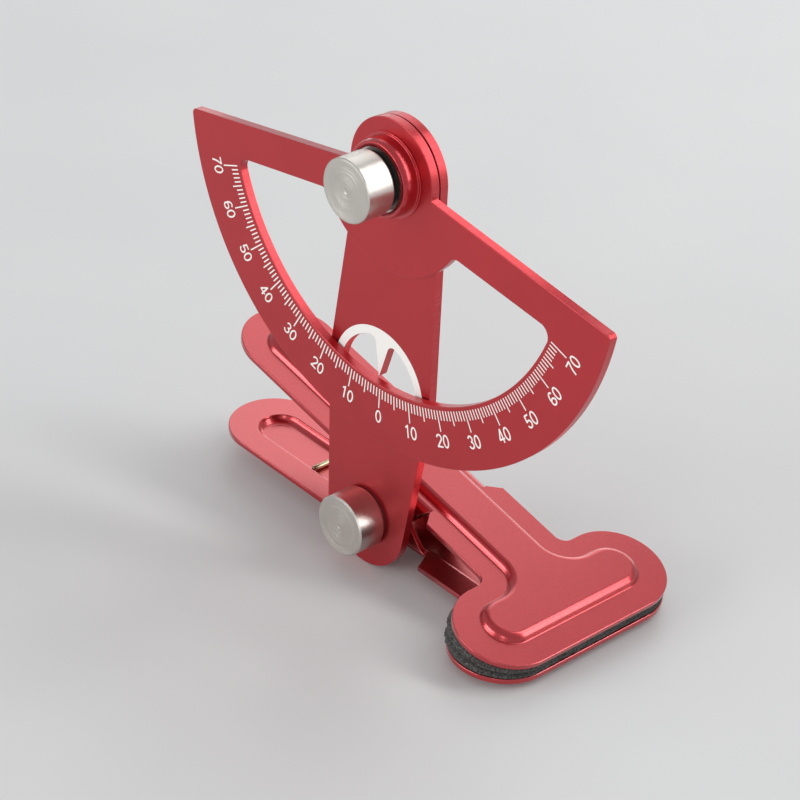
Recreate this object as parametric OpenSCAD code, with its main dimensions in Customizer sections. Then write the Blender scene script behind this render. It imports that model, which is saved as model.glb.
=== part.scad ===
// Rudder angle gauge: a sprung T-jaw clip, a pointer post clamped on its hinge
// screw, and a half-moon scale that hangs on a ball bearing and stays plumb.
// X runs along the clip towards the jaws, Y goes back from the scale's face, Z is up.
// The origin is on the table, under the scale pivot and halfway along the depth.

/* [Scale plate] */
// Radius of the scale plate's outer edge about its pivot
scale_r = 50.25; // [48:0.25:52]
// Thickness of the scale plate
scale_t = 1.6; // [1.2:0.1:2]
// Radius of the round top of the scale plate
scale_top_r = 9.8; // [9:0.1:11]
// Slope of the two upper edges
scale_edge_slope = 9.1; // [7:0.1:12]
// Height of the upper edges' lines above the pivot
scale_edge_rise = 0.5; // [0:0.1:1.5]
// Rounding of the two outer tips
scale_tip_r = 0.9; // [0.4:0.1:1.5]
// Outer radius of the window
window_r = 39.3; // [38:0.1:40]
// Radius of the hub lobe inside the window
lobe_r = 17.35; // [15:0.05:19]
// Slope of the window's upper edges
window_slope = 8.5; // [7:0.1:10]
// Distance of the window's upper edges below the pivot
window_drop = 6.3; // [5.5:0.1:7]
// Rounding of the window's corners
window_corner_r = 2; // [1:0.1:2.5]
// Thickness of the air gap between scale plate and post
scale_gap = 0.35; // [0.25:0.05:0.6]

/* [Hub and ball bearing] */
// Outer diameter of the ball bearing
bearing_od = 11; // [11:0.5:12]
// Bore diameter of the ball bearing
bearing_id = 5; // [4.5:0.1:5.2]
// Width of the ball bearing
bearing_w = 4; // [3.8:0.1:4.2]
// Diameter of one ball
ball_d = 1.58; // [1.4:0.02:1.6]
// Number of balls
ball_count = 8; // [6:1:9]
// Thickness of the inner race
inner_race_t = 0.85; // [0.75:0.05:0.9]
// Thickness of the outer race
outer_race_t = 0.9; // [0.8:0.05:0.95]
// Thickness of a bearing seal
seal_t = 0.3; // [0.2:0.05:0.4]
// Wall of the hub's boss round the bearing
hub_wall = 1.3; // [1.2:0.1:1.8]
// Height of the hub's boss in front of the scale plate
hub_h = 3.1; // [3:0.1:3.6]
// How far the hub's flange stands out past the boss
hub_flange_w = 0.5; // [0.3:0.1:0.8]
// Thickness of the hub's flange
hub_flange_t = 0.35; // [0.2:0.05:0.6]
// Chamfer at the hub's mouth
hub_mouth_chamfer = 0.5; // [0.3:0.05:0.7]
// How far the bearing sits back from the hub's mouth
bearing_set_back = 0.1; // [0.05:0.05:0.3]
// Wall of the hub's spigot that goes through the scale plate
hub_spigot_wall = 0.7; // [0.5:0.1:1]
// Width of the lip behind the bearing
hub_lip_w = 0.75; // [0.5:0.05:0.8]
// Thickness of the spacer in front of the inner race
front_spacer_t = 1.05; // [0.8:0.05:1.6]
// Wall of the spacers at the inner race
race_spacer_wall = 0.75; // [0.5:0.05:0.8]

/* [Knobs and screws] */
// Diameter of the two round clamp knobs
knob_d = 11; // [10:0.5:13]
// Length of the two clamp knobs
knob_len = 5.5; // [5:0.5:8]
// Chamfer of the knobs
knob_chamfer = 0.3; // [0.2:0.05:0.6]
// Diameter of the two screws
screw_d = 4.9; // [4.4:0.1:4.9]
// How far each screw goes into its knob
screw_in_knob = 3.9; // [3:0.1:4.2]
// Depth of the knobs' blind bore past the screw's end
knob_bore_spare = 0.4; // [0.3:0.1:0.6]
// Diameter of the screws' low heads
head_d = 9; // [8:0.5:10]
// Thickness of the screws' low heads
head_t = 1.6; // [1.4:0.1:2.2]
// Width across flats of the heads' hex sockets
socket_af = 3; // [2.5:0.5:3]
// Depth of the heads' hex sockets
socket_depth = 0.9; // [0.6:0.1:1.1]
// Thickness of the washer behind the bottom knob
knob_washer_t = 0.35; // [0.3:0.05:0.6]
// Diameter of the washer behind the bottom knob
knob_washer_d = 10; // [9:0.5:10.5]
// Thickness of the lock nut between clip and post
nut_t = 2.65; // [2.4:0.05:3.2]
// Width across flats of the lock nut
nut_af = 8; // [7.5:0.5:9]
// Thickness of the washer under the hinge screw's head
far_washer_t = 0.5; // [0.4:0.1:0.8]
// Diameter of the washer under the hinge screw's head
far_washer_d = 8.4; // [7.8:0.2:8.8]

/* [Pointer post] */
// Distance between the two pivots of the post
pivot_span = 68; // [67:0.5:80]
// Lean of the post towards the jaws
post_lean = 3.44; // [0:0.02:5]
// Thickness of the post
post_t = 1.65; // [1.4:0.05:2]
// Radius of the post's round top end
post_top_r = 9.2; // [8.6:0.1:9.8]
// Radius of the post's bulge
post_wide_r = 12.25; // [12:0.05:14]
// Distance of the bulge below the top pivot
post_wide_at = 40; // [38:0.5:42]
// Radius of the post's round foot, which stands on the table
post_foot_r = 9.5; // [9.3:0.1:9.8]
// Radius of the pointer window's arch
arch_r = 9.3; // [8.6:0.1:9.5]
// Distance of the arch's centre past the needle's tip
arch_past_tip = 1.9; // [1.5:0.1:2.4]
// Distance of the needle's tip past the scale window's edge
tip_past_window = 0.2; // [0:0.1:0.6]
// Distance of the pointer window's flat bottom past the needle's tip
window_past_tip = 3.6; // [3:0.1:5]
// Full angle of the needle
needle_angle = 28; // [22:1:32]
// Rounding at the needle's root
needle_root_r = 0.9; // [0.6:0.1:1.2]
// Rounding of the pointer window's lower corners
window_foot_r = 1.2; // [0.8:0.1:1.6]

/* [Spring clip] */
// Thickness of the clip's sheet
sheet_t = 1; // [0.9:0.05:1.1]
// Distance from the hinge axis to the inner face of each plate
channel_h = 5.5; // [5.4:0.1:6]
// Width of the neck and the handle
neck_w = 18.2; // [17.8:0.1:19]
// Length of the handle behind the hinge axis
handle_len = 45; // [42:0.5:55]
// Distance from the hinge axis to the middle of the T-head
head_at = 36; // [34:0.5:37]
// Half width of the T-head, which is also its end radius
head_r = 9.2; // [8.8:0.1:9.6]
// Length of the T-head across the clip
head_len = 44.3; // [42:0.1:48]
// Fillet between neck and T-head
neck_fillet_r = 2; // [1:0.5:3]
// Height of the raised panel
panel_h = 1.3; // [1:0.1:1.5]
// Run of the raised panel's sloping wall
panel_run = 1.1; // [0.8:0.1:1.3]
// Distance of the panel's wall from the side edges of the plate
panel_inset = 4.55; // [4.4:0.05:4.8]
// Distance of the panel's wall from the ends of the plate
panel_end_inset = 5.5; // [5.2:0.1:6]
// Fillet of the panel between neck and T-head
panel_fillet_r = 5.5; // [4:0.5:6]
// Half distance between the outer faces of the upper jaw's ears
ear_out = 7.2; // [7.2:0.05:7.5]
// Side gap between the outer and the inner ears
ear_gap = 0.25; // [0.15:0.05:0.3]
// Half length of the ears at the plate
ear_base = 9.8; // [9:0.1:10.2]
// Radius of the ears' round tips
ear_tip_r = 4.4; // [4.2:0.1:4.7]
// Radius of the hollow between an ear's slope and its tip
ear_hollow_r = 6; // [5:0.5:7]
// Inner radius of the bend between plate and ear
bend_r = 0.5; // [0.3:0.1:0.6]
// Length of the slanted shoulder where the neck widens
shoulder_len = 1.6; // [1.2:0.1:2.5]
// Nose-down pitch of the upper jaw
upper_pitch = 14; // [12:0.25:15]

/* [Torsion spring and sleeve] */
// Diameter of the spring wire
wire_d = 1; // [0.9:0.05:1]
// Mean radius of the coil
coil_r = 4.2; // [4.1:0.05:4.2]
// Half length of the coil between its two end turns
coil_half = 3.3; // [3.2:0.05:3.3]
// Whole turns of the coil, before the part turn between its legs
coil_turns = 4; // [3:1:4]
// Distance of the spring's cross bars behind the hinge axis
bar_at = 22.3; // [18:0.1:28]
// Length of the cross bars
bar_len = 6.4; // [5:0.1:6.5]
// Radius of the bend between leg and cross bar
bar_bend_r = 1.2; // [1:0.1:1.6]
// Outer diameter of the sleeve inside the coil
sleeve_d = 6.2; // [5.8:0.1:6.4]

/* [Foam pads] */
// How far the pads' edges lie inside the T-heads' edges
pad_inset = 0.2; // [0.1:0.1:0.6]
// Gap between the two closed pads
pad_gap = 0.3; // [0.2:0.05:0.5]
// Thickness of the glue line between pad and jaw
glue_gap = 0.05; // [0.02:0.01:0.1]

/* [Clearances] */
// Radial running clearance of pins in bores
run_clear = 0.05; // [0.02:0.01:0.08]
// Radial clearance of pressed pieces
press_clear = 0.01; // [0.01:0.01:0.03]
// Gap between faces that turn on each other
face_gap = 0.05; // [0.03:0.01:0.1]
// Clearance between balls, cage and races
ball_clear = 0.03; // [0.02:0.01:0.05]
// Gap between the cross bars and the floor of the panels
bar_clear = 0.1; // [0.08:0.01:0.2]

/* [Hidden] */
$fn = 96;

red = [0.66, 0.16, 0.2];
steel = [0.78, 0.78, 0.76];
dark = [0.12, 0.12, 0.13];

// Levels along Y, counted from the scale plate's front face
post_front = scale_t + scale_gap;
post_rear = post_front + post_t;
ear_near = post_rear + nut_t + 2 * face_gap;
clip_mid = ear_near + ear_out;
ear_far = clip_mid + ear_out;
bearing_front = -hub_h + bearing_set_back;
bearing_rear = bearing_front + bearing_w;
top_knob_rear = bearing_front - front_spacer_t - face_gap;
top_knob_front = top_knob_rear - knob_len;
bottom_knob_rear = post_front - knob_washer_t - 2 * face_gap;
far_head = ear_far + far_washer_t + 2 * face_gap;
depth_mid = (top_knob_front + clip_mid + head_len / 2) / 2;

// Pivots
hinge_x = -pivot_span * sin(post_lean);
hinge_z = post_foot_r;
pivot_z = hinge_z + pivot_span * cos(post_lean);

// Bearing and hub radii
bearing_r = bearing_od / 2;
bore_r = bearing_id / 2;
ball_r = ball_d / 2;
inner_shoulder_r = bore_r + inner_race_t;
outer_shoulder_r = bearing_r - outer_race_t;
ball_path_r = (inner_shoulder_r + outer_shoulder_r) / 2;
groove_r = ball_r + ball_clear;
seal_seat_r = outer_shoulder_r + 0.3;
hub_bore_r = bearing_r + press_clear;
hub_boss_r = bearing_r + hub_wall;
hub_spigot_r = bearing_r + hub_spigot_wall;
race_spacer_r = bore_r + race_spacer_wall;

// Screws and knobs
screw_r = screw_d / 2;
screw_hole_r = screw_r + run_clear;
knob_r = knob_d / 2;
bottom_screw_tip = bottom_knob_rear - screw_in_knob;
top_screw_tip = top_knob_rear - screw_in_knob;

// Jaws
plate_in = channel_h;
plate_out = channel_h + sheet_t;
crest_z = plate_out + panel_h;
foot_inset = panel_inset - panel_run / 2;
crest_inset = panel_inset + panel_run / 2;
wall_len = sqrt(panel_h * panel_h + panel_run * panel_run);
recess_inset = sheet_t * (wall_len - panel_run) / panel_h;
panel_head_y = head_len / 2 - panel_end_inset - (head_r - panel_inset);
panel_tail_x = handle_len - panel_end_inset - (neck_w / 2 - panel_inset);
ear_in = ear_out - sheet_t - ear_gap;
// The clip rests on the front edge of the lower panel, level with the post's foot
rest_reach = head_at + head_r - crest_inset;
rest_arm = sqrt(crest_z * crest_z + rest_reach * rest_reach);
lower_pitch = atan2(rest_reach, crest_z) - acos(hinge_z / rest_arm);
half_jaw_angle = (upper_pitch - lower_pitch) / 2;

// Needle and its window, measured down from the top pivot
needle_tip_at = window_r + tip_past_window;
arch_at = needle_tip_at + arch_past_tip;
window_foot_at = needle_tip_at + window_past_tip;

// Torsion spring
wire_r = wire_d / 2;
bar_z = plate_out + panel_h - sheet_t - wire_r - bar_clear;
wire_sides = 6;
rings_per_turn = 8;

// A rounding reaches this far past its tangent line, so that the two surfaces cross cleanly
blend_over = 0.01;

function in_3d(p, y) = [p[0], y, p[1]];
function unit(v) = v / norm(v);

// Placement helpers
module at_pivot() {
    translate([0, -depth_mid, pivot_z]) children();
}

module at_hinge() {
    translate([hinge_x, -depth_mid, hinge_z]) children();
}

// A flat plate in the XZ plane, from level y0 back by t
module slab(y0, t) {
    translate([0, y0 + t, 0]) rotate([90, 0, 0]) linear_extrude(height = t) children();
}

// A turned piece about the Y axis, its profile drawn as radius and level
module turned() {
    rotate([-90, 0, 0]) rotate_extrude() children();
}

module ring_2d(r_in, r_out, y0, y1) {
    translate([r_in, y0]) square([r_out - r_in, y1 - y0]);
}

module rod_y(r, y0, y1) {
    translate([0, y0, 0]) rotate([-90, 0, 0]) cylinder(r = r, h = y1 - y0);
}

// What rounding a corner takes off: a wedge from c between two directions, less a circle
module corner_waste(c, a1, a2, r) {
    q = 4 * r;
    difference() {
        polygon([
            c,
            c + q * [cos(a1), sin(a1)],
            c + 1.6 * q * [cos((a1 + a2) / 2), sin((a1 + a2) / 2)],
            c + q * [cos(a2), sin(a2)]
        ]);
        translate(c) circle(r = r + blend_over);
    }
}

// Scale plate
// Everything below two lines that fall away from the middle at one slope
module below_roof(rise, slope, reach) {
    apex = rise / cos(slope);
    polygon([
        [0, apex],
        [reach, apex - reach * tan(slope)],
        [reach, -reach],
        [-reach, -reach],
        [-reach, apex - reach * tan(slope)]
    ]);
}

module both_sides() {
    children();
    mirror([1, 0]) children();
}

module scale_outline() {
    rise = scale_edge_rise;
    tip_r = scale_tip_r;
    tip = [sqrt(pow(scale_r - tip_r, 2) - pow(rise - tip_r, 2)), rise - tip_r];
    tip_a = atan2(tip[1], tip[0]);
    difference() {
        intersection() {
            circle(r = scale_r);
            below_roof(rise, scale_edge_slope, 1.2 * scale_r);
        }
        both_sides() rotate(-scale_edge_slope) corner_waste(tip, 90, tip_a, tip_r);
    }
    circle(r = scale_top_r);
}

module scale_window() {
    drop = window_drop;
    cr = window_corner_r;
    far_c = [sqrt(pow(window_r - cr, 2) - pow(drop + cr, 2)), -drop - cr];
    near_c = [sqrt(pow(lobe_r + cr, 2) - pow(drop + cr, 2)), -drop - cr];
    far_a = atan2(far_c[1], far_c[0]);
    near_a = atan2(-near_c[1], -near_c[0]);
    difference() {
        intersection() {
            circle(r = window_r);
            below_roof(-drop, window_slope, 1.2 * scale_r);
        }
        circle(r = lobe_r);
        both_sides() rotate(-window_slope) {
            corner_waste(far_c, 90, far_a, cr);
            corner_waste(near_c, 90, near_a, cr);
        }
    }
}

module scale_plate() {
    color(red) at_pivot() difference() {
        slab(0, scale_t) scale_outline();
        slab(-1, scale_t + 2) scale_window();
        slab(-1, scale_t + 2) circle(r = hub_spigot_r + press_clear);
    }
}

module scale_hub() {
    m = -hub_h;
    color(red) at_pivot() turned() polygon([
        [hub_bore_r + hub_mouth_chamfer, m],
        [hub_boss_r - 0.25, m],
        [hub_boss_r, m + 0.25],
        [hub_boss_r, -hub_flange_t],
        [hub_boss_r + hub_flange_w, -hub_flange_t],
        [hub_boss_r + hub_flange_w, 0],
        [hub_spigot_r, 0],
        [hub_spigot_r, scale_t],
        [bearing_r - hub_lip_w, scale_t],
        [bearing_r - hub_lip_w, bearing_rear],
        [hub_bore_r, bearing_rear],
        [hub_bore_r, m + hub_mouth_chamfer]
    ]);
}

// Ball bearing
bearing_mid = (bearing_front + bearing_rear) / 2;
seal_in = 0.08;

module ball_groove() {
    translate([ball_path_r, bearing_mid]) circle(r = groove_r, $fn = 48);
}

module bearing_outer_race() {
    seat_t = seal_t + 2 * seal_in;
    color(steel) at_pivot() turned() difference() {
        ring_2d(outer_shoulder_r, bearing_r, bearing_front, bearing_rear);
        ball_groove();
        ring_2d(0.5, seal_seat_r, bearing_front - 1, bearing_front + seat_t);
        ring_2d(0.5, seal_seat_r, bearing_rear - seat_t, bearing_rear + 1);
    }
}

module bearing_inner_race() {
    color(steel) at_pivot() turned() difference() {
        ring_2d(bore_r, inner_shoulder_r, bearing_front, bearing_rear);
        ball_groove();
    }
}

module bearing_balls() {
    color(steel) at_pivot() for (i = [0 : ball_count - 1]) {
        rotate([0, i * 360 / ball_count, 0]) translate([ball_path_r, bearing_mid, 0]) sphere(r = ball_r);
    }
}

// A ring with a round pocket through its wall for each ball
module bearing_cage() {
    ring_gap = 0.1;
    half = ball_r + 0.35;
    color([0.85, 0.8, 0.65]) at_pivot() difference() {
        turned() ring_2d(
            inner_shoulder_r + ring_gap,
            outer_shoulder_r - ring_gap,
            bearing_mid - half,
            bearing_mid + half
        );
        for (i = [0 : ball_count - 1]) {
            rotate([0, i * 360 / ball_count, 0])
                translate([inner_shoulder_r - 0.5, bearing_mid, 0])
                rotate([0, 90, 0])
                cylinder(r = ball_r + ball_clear, h = bearing_r);
        }
    }
}

module bearing_seal(y0) {
    turned() ring_2d(inner_shoulder_r + seal_in, seal_seat_r - press_clear, y0, y0 + seal_t);
}

module bearing_front_seal() {
    color(dark) at_pivot() bearing_seal(bearing_front + seal_in);
}

module bearing_rear_seal() {
    color(dark) at_pivot() bearing_seal(bearing_rear - seal_in - seal_t);
}

module front_race_spacer() {
    color(steel) at_pivot() turned()
        ring_2d(screw_hole_r, race_spacer_r, bearing_front - front_spacer_t, bearing_front);
}

module rear_race_spacer() {
    color(steel) at_pivot() turned() ring_2d(screw_hole_r, race_spacer_r, bearing_rear, post_front);
}

// Screws and knobs
module low_head_screw(tip, seat) {
    difference() {
        turned() polygon([
            [0, tip],
            [screw_r - 0.4, tip],
            [screw_r, tip + 0.4],
            [screw_r, seat],
            [head_d / 2, seat],
            [head_d / 2, seat + head_t - 0.3],
            [head_d / 2 - 0.3, seat + head_t],
            [0, seat + head_t]
        ]);
        translate([0, seat + head_t - socket_depth, 0])
            rotate([-90, 0, 0])
            cylinder(d = socket_af / cos(30), h = head_t, $fn = 6);
    }
}

module top_pivot_screw() {
    color(steel) at_pivot() low_head_screw(top_screw_tip, post_rear);
}

module hinge_screw() {
    color(steel) at_hinge() low_head_screw(bottom_screw_tip, far_head);
}

module knob(rear) {
    front = rear - knob_len;
    bore_end = rear - screw_in_knob - knob_bore_spare;
    turned() polygon([
        [0, front],
        [knob_r - knob_chamfer, front],
        [knob_r, front + knob_chamfer],
        [knob_r, rear - knob_chamfer],
        [knob_r - knob_chamfer, rear],
        [screw_hole_r, rear],
        [screw_hole_r, bore_end],
        [0, bore_end]
    ]);
}

module top_knob() {
    color(steel) at_pivot() knob(top_knob_rear);
}

module bottom_knob() {
    color(steel) at_hinge() knob(bottom_knob_rear);
}

module bottom_knob_washer() {
    color(steel) at_hinge() turned() ring_2d(
        screw_hole_r,
        knob_washer_d / 2,
        bottom_knob_rear + face_gap,
        post_front - face_gap
    );
}

module hinge_lock_nut() {
    y0 = post_rear + face_gap;
    corner_r = nut_af / 2 / cos(30);
    color(steel) at_hinge() difference() {
        intersection() {
            translate([0, y0, 0]) rotate([-90, 0, 0]) cylinder(r = corner_r, h = nut_t, $fn = 6);
            turned() polygon([
                [0, y0],
                [corner_r - 0.4, y0],
                [corner_r, y0 + 0.25],
                [corner_r, y0 + nut_t - 0.25],
                [corner_r - 0.4, y0 + nut_t],
                [0, y0 + nut_t]
            ]);
        }
        rod_y(screw_hole_r, y0 - 1, y0 + nut_t + 1);
    }
}

module hinge_sleeve() {
    half = ear_in - sheet_t - face_gap;
    color(steel) at_hinge() turned()
        ring_2d(screw_hole_r, sleeve_d / 2, clip_mid - half, clip_mid + half);
}

module far_washer() {
    color(steel) at_hinge() turned() ring_2d(
        screw_hole_r,
        far_washer_d / 2,
        ear_far + face_gap,
        far_head - face_gap
    );
}

// Pointer post
// Straight sides that touch two circles standing on one line
module belt(z1, r1, z2, r2) {
    lean = asin((r1 - r2) / (z2 - z1));
    polygon([
        [r1 * cos(lean), z1 + r1 * sin(lean)],
        [r2 * cos(lean), z2 + r2 * sin(lean)],
        [-r2 * cos(lean), z2 + r2 * sin(lean)],
        [-r1 * cos(lean), z1 + r1 * sin(lean)]
    ]);
}

module post_outline() {
    wide_z = pivot_span - post_wide_at;
    circle(r = post_foot_r);
    translate([0, wide_z]) circle(r = post_wide_r);
    translate([0, pivot_span]) circle(r = post_top_r);
    belt(0, post_foot_r, wide_z, post_wide_r);
    belt(wide_z, post_wide_r, pivot_span, post_top_r);
}

// The D-shaped window with the needle left standing in its middle
module pointer_window() {
    half = needle_angle / 2;
    tip_z = pivot_span - needle_tip_at;
    arch_z = pivot_span - arch_at;
    foot_z = pivot_span - window_foot_at;
    // Root rounding: touches the arch from inside and the needle's side
    rr = needle_root_r;
    d = arch_z - tip_z;
    // The needle's side runs up from its tip at half the needle's angle
    side_n = [cos(half), -sin(half)];
    side_t = [sin(half), cos(half)];
    off = rr - d * side_n[1];
    along = sqrt(pow(arch_r - rr, 2) - pow(off, 2));
    root = off * side_n + along * side_t;
    // Foot rounding: touches the arch from inside and the flat bottom
    fr = window_foot_r;
    foot_v = foot_z - arch_z + fr;
    foot = [sqrt(pow(arch_r - fr, 2) - pow(foot_v, 2)), foot_v];
    translate([0, arch_z]) difference() {
        circle(r = arch_r);
        translate([-2 * arch_r, foot_z - arch_z - 4 * arch_r]) square([4 * arch_r, 4 * arch_r]);
        polygon([
            [0, tip_z - arch_z],
            [2 * arch_r * tan(half), tip_z - arch_z + 2 * arch_r],
            [-2 * arch_r * tan(half), tip_z - arch_z + 2 * arch_r]
        ]);
        both_sides() {
            corner_waste(root, atan2(root[1], root[0]), 180 - half, rr);
            corner_waste(foot, -90, atan2(foot[1], foot[0]), fr);
        }
    }
}

module pointer_post() {
    color(red) at_hinge() rotate([0, post_lean, 0]) difference() {
        slab(post_front, post_t) post_outline();
        slab(post_front - 1, post_t + 2) pointer_window();
        rod_y(screw_hole_r, post_front - 1, post_rear + 1);
        translate([0, 0, pivot_span]) rod_y(screw_hole_r, post_front - 1, post_rear + 1);
    }
}

// Spring clip
// Outline of a jaw's plate, X towards the T-head
module jaw_outline(ear_half) {
    tail = handle_len - neck_w / 2;
    head_y = head_len / 2 - head_r;
    inner_y = ear_half - sheet_t - bend_r;
    difference() {
        union() {
            translate([-tail, 0]) circle(d = neck_w);
            translate([-tail, -neck_w / 2]) square([tail + head_at, neck_w]);
            translate([head_at - head_r, -head_y]) square([2 * head_r, 2 * head_y]);
            for (side = [-1, 1]) {
                translate([head_at, side * head_y]) circle(r = head_r);
                difference() {
                    fx = head_at - head_r - neck_fillet_r;
                    fy = neck_w / 2 + neck_fillet_r;
                    translate([fx, side > 0 ? 0 : -fy]) square([neck_fillet_r + 1, fy]);
                    translate([fx, side * fy]) circle(r = neck_fillet_r + blend_over);
                }
            }
        }
        for (side = [-1, 1]) {
            polygon([
                [-ear_base, side * inner_y],
                [-ear_base, side * (ear_half - 0.25)],
                [-ear_base - shoulder_len, side * neck_w / 2],
                [-ear_base - shoulder_len, side * (neck_w / 2 + 1)],
                [ear_base + shoulder_len, side * (neck_w / 2 + 1)],
                [ear_base + shoulder_len, side * neck_w / 2],
                [ear_base, side * (ear_half - 0.25)],
                [ear_base, side * inner_y]
            ]);
        }
    }
}

// Cross-section of the channel that the ears make with the plate
module channel_section(ear_half) {
    module arch(half, top, r) {
        translate([-half, -2 * plate_out]) square([2 * half, top + 2 * plate_out - r]);
        translate([-half + r, top - 2 * r]) square([2 * (half - r), 2 * r]);
        for (side = [-1, 1]) translate([side * (half - r), top - r]) circle(r = r);
    }
    difference() {
        arch(ear_half, plate_out, bend_r + sheet_t);
        arch(ear_half - sheet_t, plate_in, bend_r);
    }
}

// Side view of an ear: 45 degree slopes that run through a hollow into a round tip
module ear_side() {
    line_d = (ear_base - plate_out) / sqrt(2);
    out = line_d + ear_hollow_r;
    up = sqrt(pow(ear_tip_r + ear_hollow_r, 2) - pow(out, 2));
    c = [(out + up) / sqrt(2), (up - out) / sqrt(2)];
    on_line = c - ear_hollow_r * [1, -1] / sqrt(2);
    on_tip = ear_tip_r * unit(c);
    difference() {
        union() {
            circle(r = ear_tip_r);
            polygon([
                [0, 0],
                on_tip,
                on_line,
                [ear_base, plate_out],
                [ear_base, plate_out + 1],
                [-ear_base, plate_out + 1],
                [-ear_base, plate_out],
                [-on_line[0], on_line[1]],
                [-on_tip[0], on_tip[1]]
            ]);
        }
        both_sides() translate(c) circle(r = ear_hollow_r);
    }
}

// Raised panel between two heights; the wall slopes in by panel_run over panel_h
module panel_form(inset, base_z, z0, z1) {
    function side_in(z) = inset + (z - base_z) * panel_run / panel_h;
    function bar_half(z) = neck_w / 2 - side_in(z);
    function head_half(z) = head_r - side_in(z);
    h = z1 - z0;
    fx = head_at - (head_r - panel_inset) - panel_fillet_r;
    fy = neck_w / 2 - panel_inset + panel_fillet_r;
    translate([-panel_tail_x, 0, z0]) cylinder(r1 = bar_half(z0), r2 = bar_half(z1), h = h);
    translate([-panel_tail_x, 0, 0]) rotate([90, 0, 90]) linear_extrude(height = panel_tail_x + head_at)
        polygon([
            [-bar_half(z0), z0],
            [bar_half(z0), z0],
            [bar_half(z1), z1],
            [-bar_half(z1), z1]
        ]);
    translate([head_at, panel_head_y, 0]) rotate([90, 0, 0]) linear_extrude(height = 2 * panel_head_y)
        polygon([
            [-head_half(z0), z0],
            [head_half(z0), z0],
            [head_half(z1), z1],
            [-head_half(z1), z1]
        ]);
    for (side = [-1, 1]) {
        translate([head_at, side * panel_head_y, z0])
            cylinder(r1 = head_half(z0), r2 = head_half(z1), h = h);
        difference() {
            translate([fx, side > 0 ? 0 : -fy, z0]) cube([head_at - fx, fy, h]);
            // The hollow widens with height as the walls slope away from it
            fr0 = panel_fillet_r + side_in(z0 - 1) - panel_inset + 2 * blend_over;
            fr1 = panel_fillet_r + side_in(z1 + 1) - panel_inset + 2 * blend_over;
            translate([fx, side * fy, z0 - 1]) cylinder(r1 = fr0, r2 = fr1, h = h + 2);
        }
    }
}

// A jaw lies flat over the hinge axis, its outer face up
module jaw(ear_half) {
    difference() {
        union() {
            translate([0, 0, plate_in]) linear_extrude(height = sheet_t) jaw_outline(ear_half);
            intersection() {
                translate([-ear_base, 0, 0]) rotate([90, 0, 90])
                    linear_extrude(height = 2 * ear_base) channel_section(ear_half);
                slab(-ear_half - 1, 2 * ear_half + 2) ear_side();
            }
            panel_form(foot_inset, plate_out, plate_out - sheet_t / 2, crest_z);
        }
        panel_form(foot_inset + recess_inset, plate_in, plate_in - 0.5, crest_z - sheet_t);
        rod_y(screw_hole_r, -ear_half - 1, ear_half + 1);
    }
}

module foam_pad() {
    reach = head_at + 2 * head_r;
    head_y = head_len / 2 - head_r;
    pad_r = head_r - pad_inset;
    difference() {
        linear_extrude(height = plate_in - glue_gap) {
            translate([head_at - pad_r, -head_y]) square([2 * pad_r, 2 * head_y]);
            for (side = [-1, 1]) translate([head_at, side * head_y]) circle(r = pad_r);
        }
        rotate([0, -half_jaw_angle, 0])
            translate([0, -head_len, -reach + pad_gap / 2])
            cube([reach, 2 * head_len, reach]);
    }
}

module on_upper() {
    at_hinge() translate([0, clip_mid, 0]) rotate([0, upper_pitch, 0]) children();
}

module on_lower() {
    at_hinge() translate([0, clip_mid, 0]) rotate([0, lower_pitch, 0]) mirror([0, 0, 1]) children();
}

module upper_jaw() {
    color(red) on_upper() jaw(ear_out);
}

module lower_jaw() {
    color(red) on_lower() jaw(ear_in);
}

module upper_foam_pad() {
    color(dark) on_upper() foam_pad();
}

module lower_foam_pad() {
    color(dark) on_lower() foam_pad();
}

// Torsion spring: one wire from the lower cross bar through the coil to the upper
// Each step of the path is [point, direction, side vector square to it]
bar_reach = sqrt(bar_at * bar_at + bar_z * bar_z);
leg_lead = acos(coil_r / bar_reach);
// Angles are counted from +X towards +Z, seen from the front
upper_bar_a = atan2(bar_z, -bar_at) - upper_pitch;
lower_bar_a = atan2(-bar_z, -bar_at) - lower_pitch;
coil_end = upper_bar_a - leg_lead + 360 * coil_turns;
coil_start = lower_bar_a + leg_lead;
coil_sweep = coil_end - coil_start;
coil_steps = ceil(coil_sweep / (360 / rings_per_turn));

// A leg from the coil outwards: it leaves at angle a, ends at angle b with a bar along s_y
function leg(a, b, y, s_y) =
    let (
        side = in_3d([cos(a), sin(a)], 0),
        start = in_3d(coil_r * [cos(a), sin(a)], y),
        corner = in_3d(bar_reach * [cos(b), sin(b)], y),
        d = unit(corner - start),
        across = [0, s_y, 0],
        centre = corner - bar_bend_r * d + bar_bend_r * across
    )
    concat(
        [for (k = [0 : 4])
            let (t = k * 22.5)
            [
                centre + bar_bend_r * (sin(t) * d - cos(t) * across),
                cos(t) * d + sin(t) * across,
                side
            ]
        ],
        [[corner + bar_len * across, across, side]]
    );

function backwards(path) = [for (i = [len(path) - 1 : -1 : 0]) [path[i][0], -path[i][1], path[i][2]]];

function coil_path() = [
    for (i = [0 : coil_steps])
        let (
            f = i / coil_steps,
            a = coil_start + f * coil_sweep,
            y = coil_half * (1 - 2 * f),
            rise = -2 * coil_half / (coil_r * coil_sweep * PI / 180)
        )
        [
            in_3d(coil_r * [cos(a), sin(a)], y),
            unit([-sin(a), rise, cos(a)]),
            [cos(a), 0, sin(a)]
        ]
];

wire_path = concat(
    backwards(leg(coil_start, lower_bar_a, coil_half, -1)),
    coil_path(),
    leg(coil_end, upper_bar_a, -coil_half, 1)
);

function wire_ring(s) =
    let (up = cross(s[1], s[2]))
    [for (k = [0 : wire_sides - 1])
        let (t = k * 360 / wire_sides)
        s[0] + wire_r * (cos(t) * s[2] + sin(t) * up)
    ];

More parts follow.
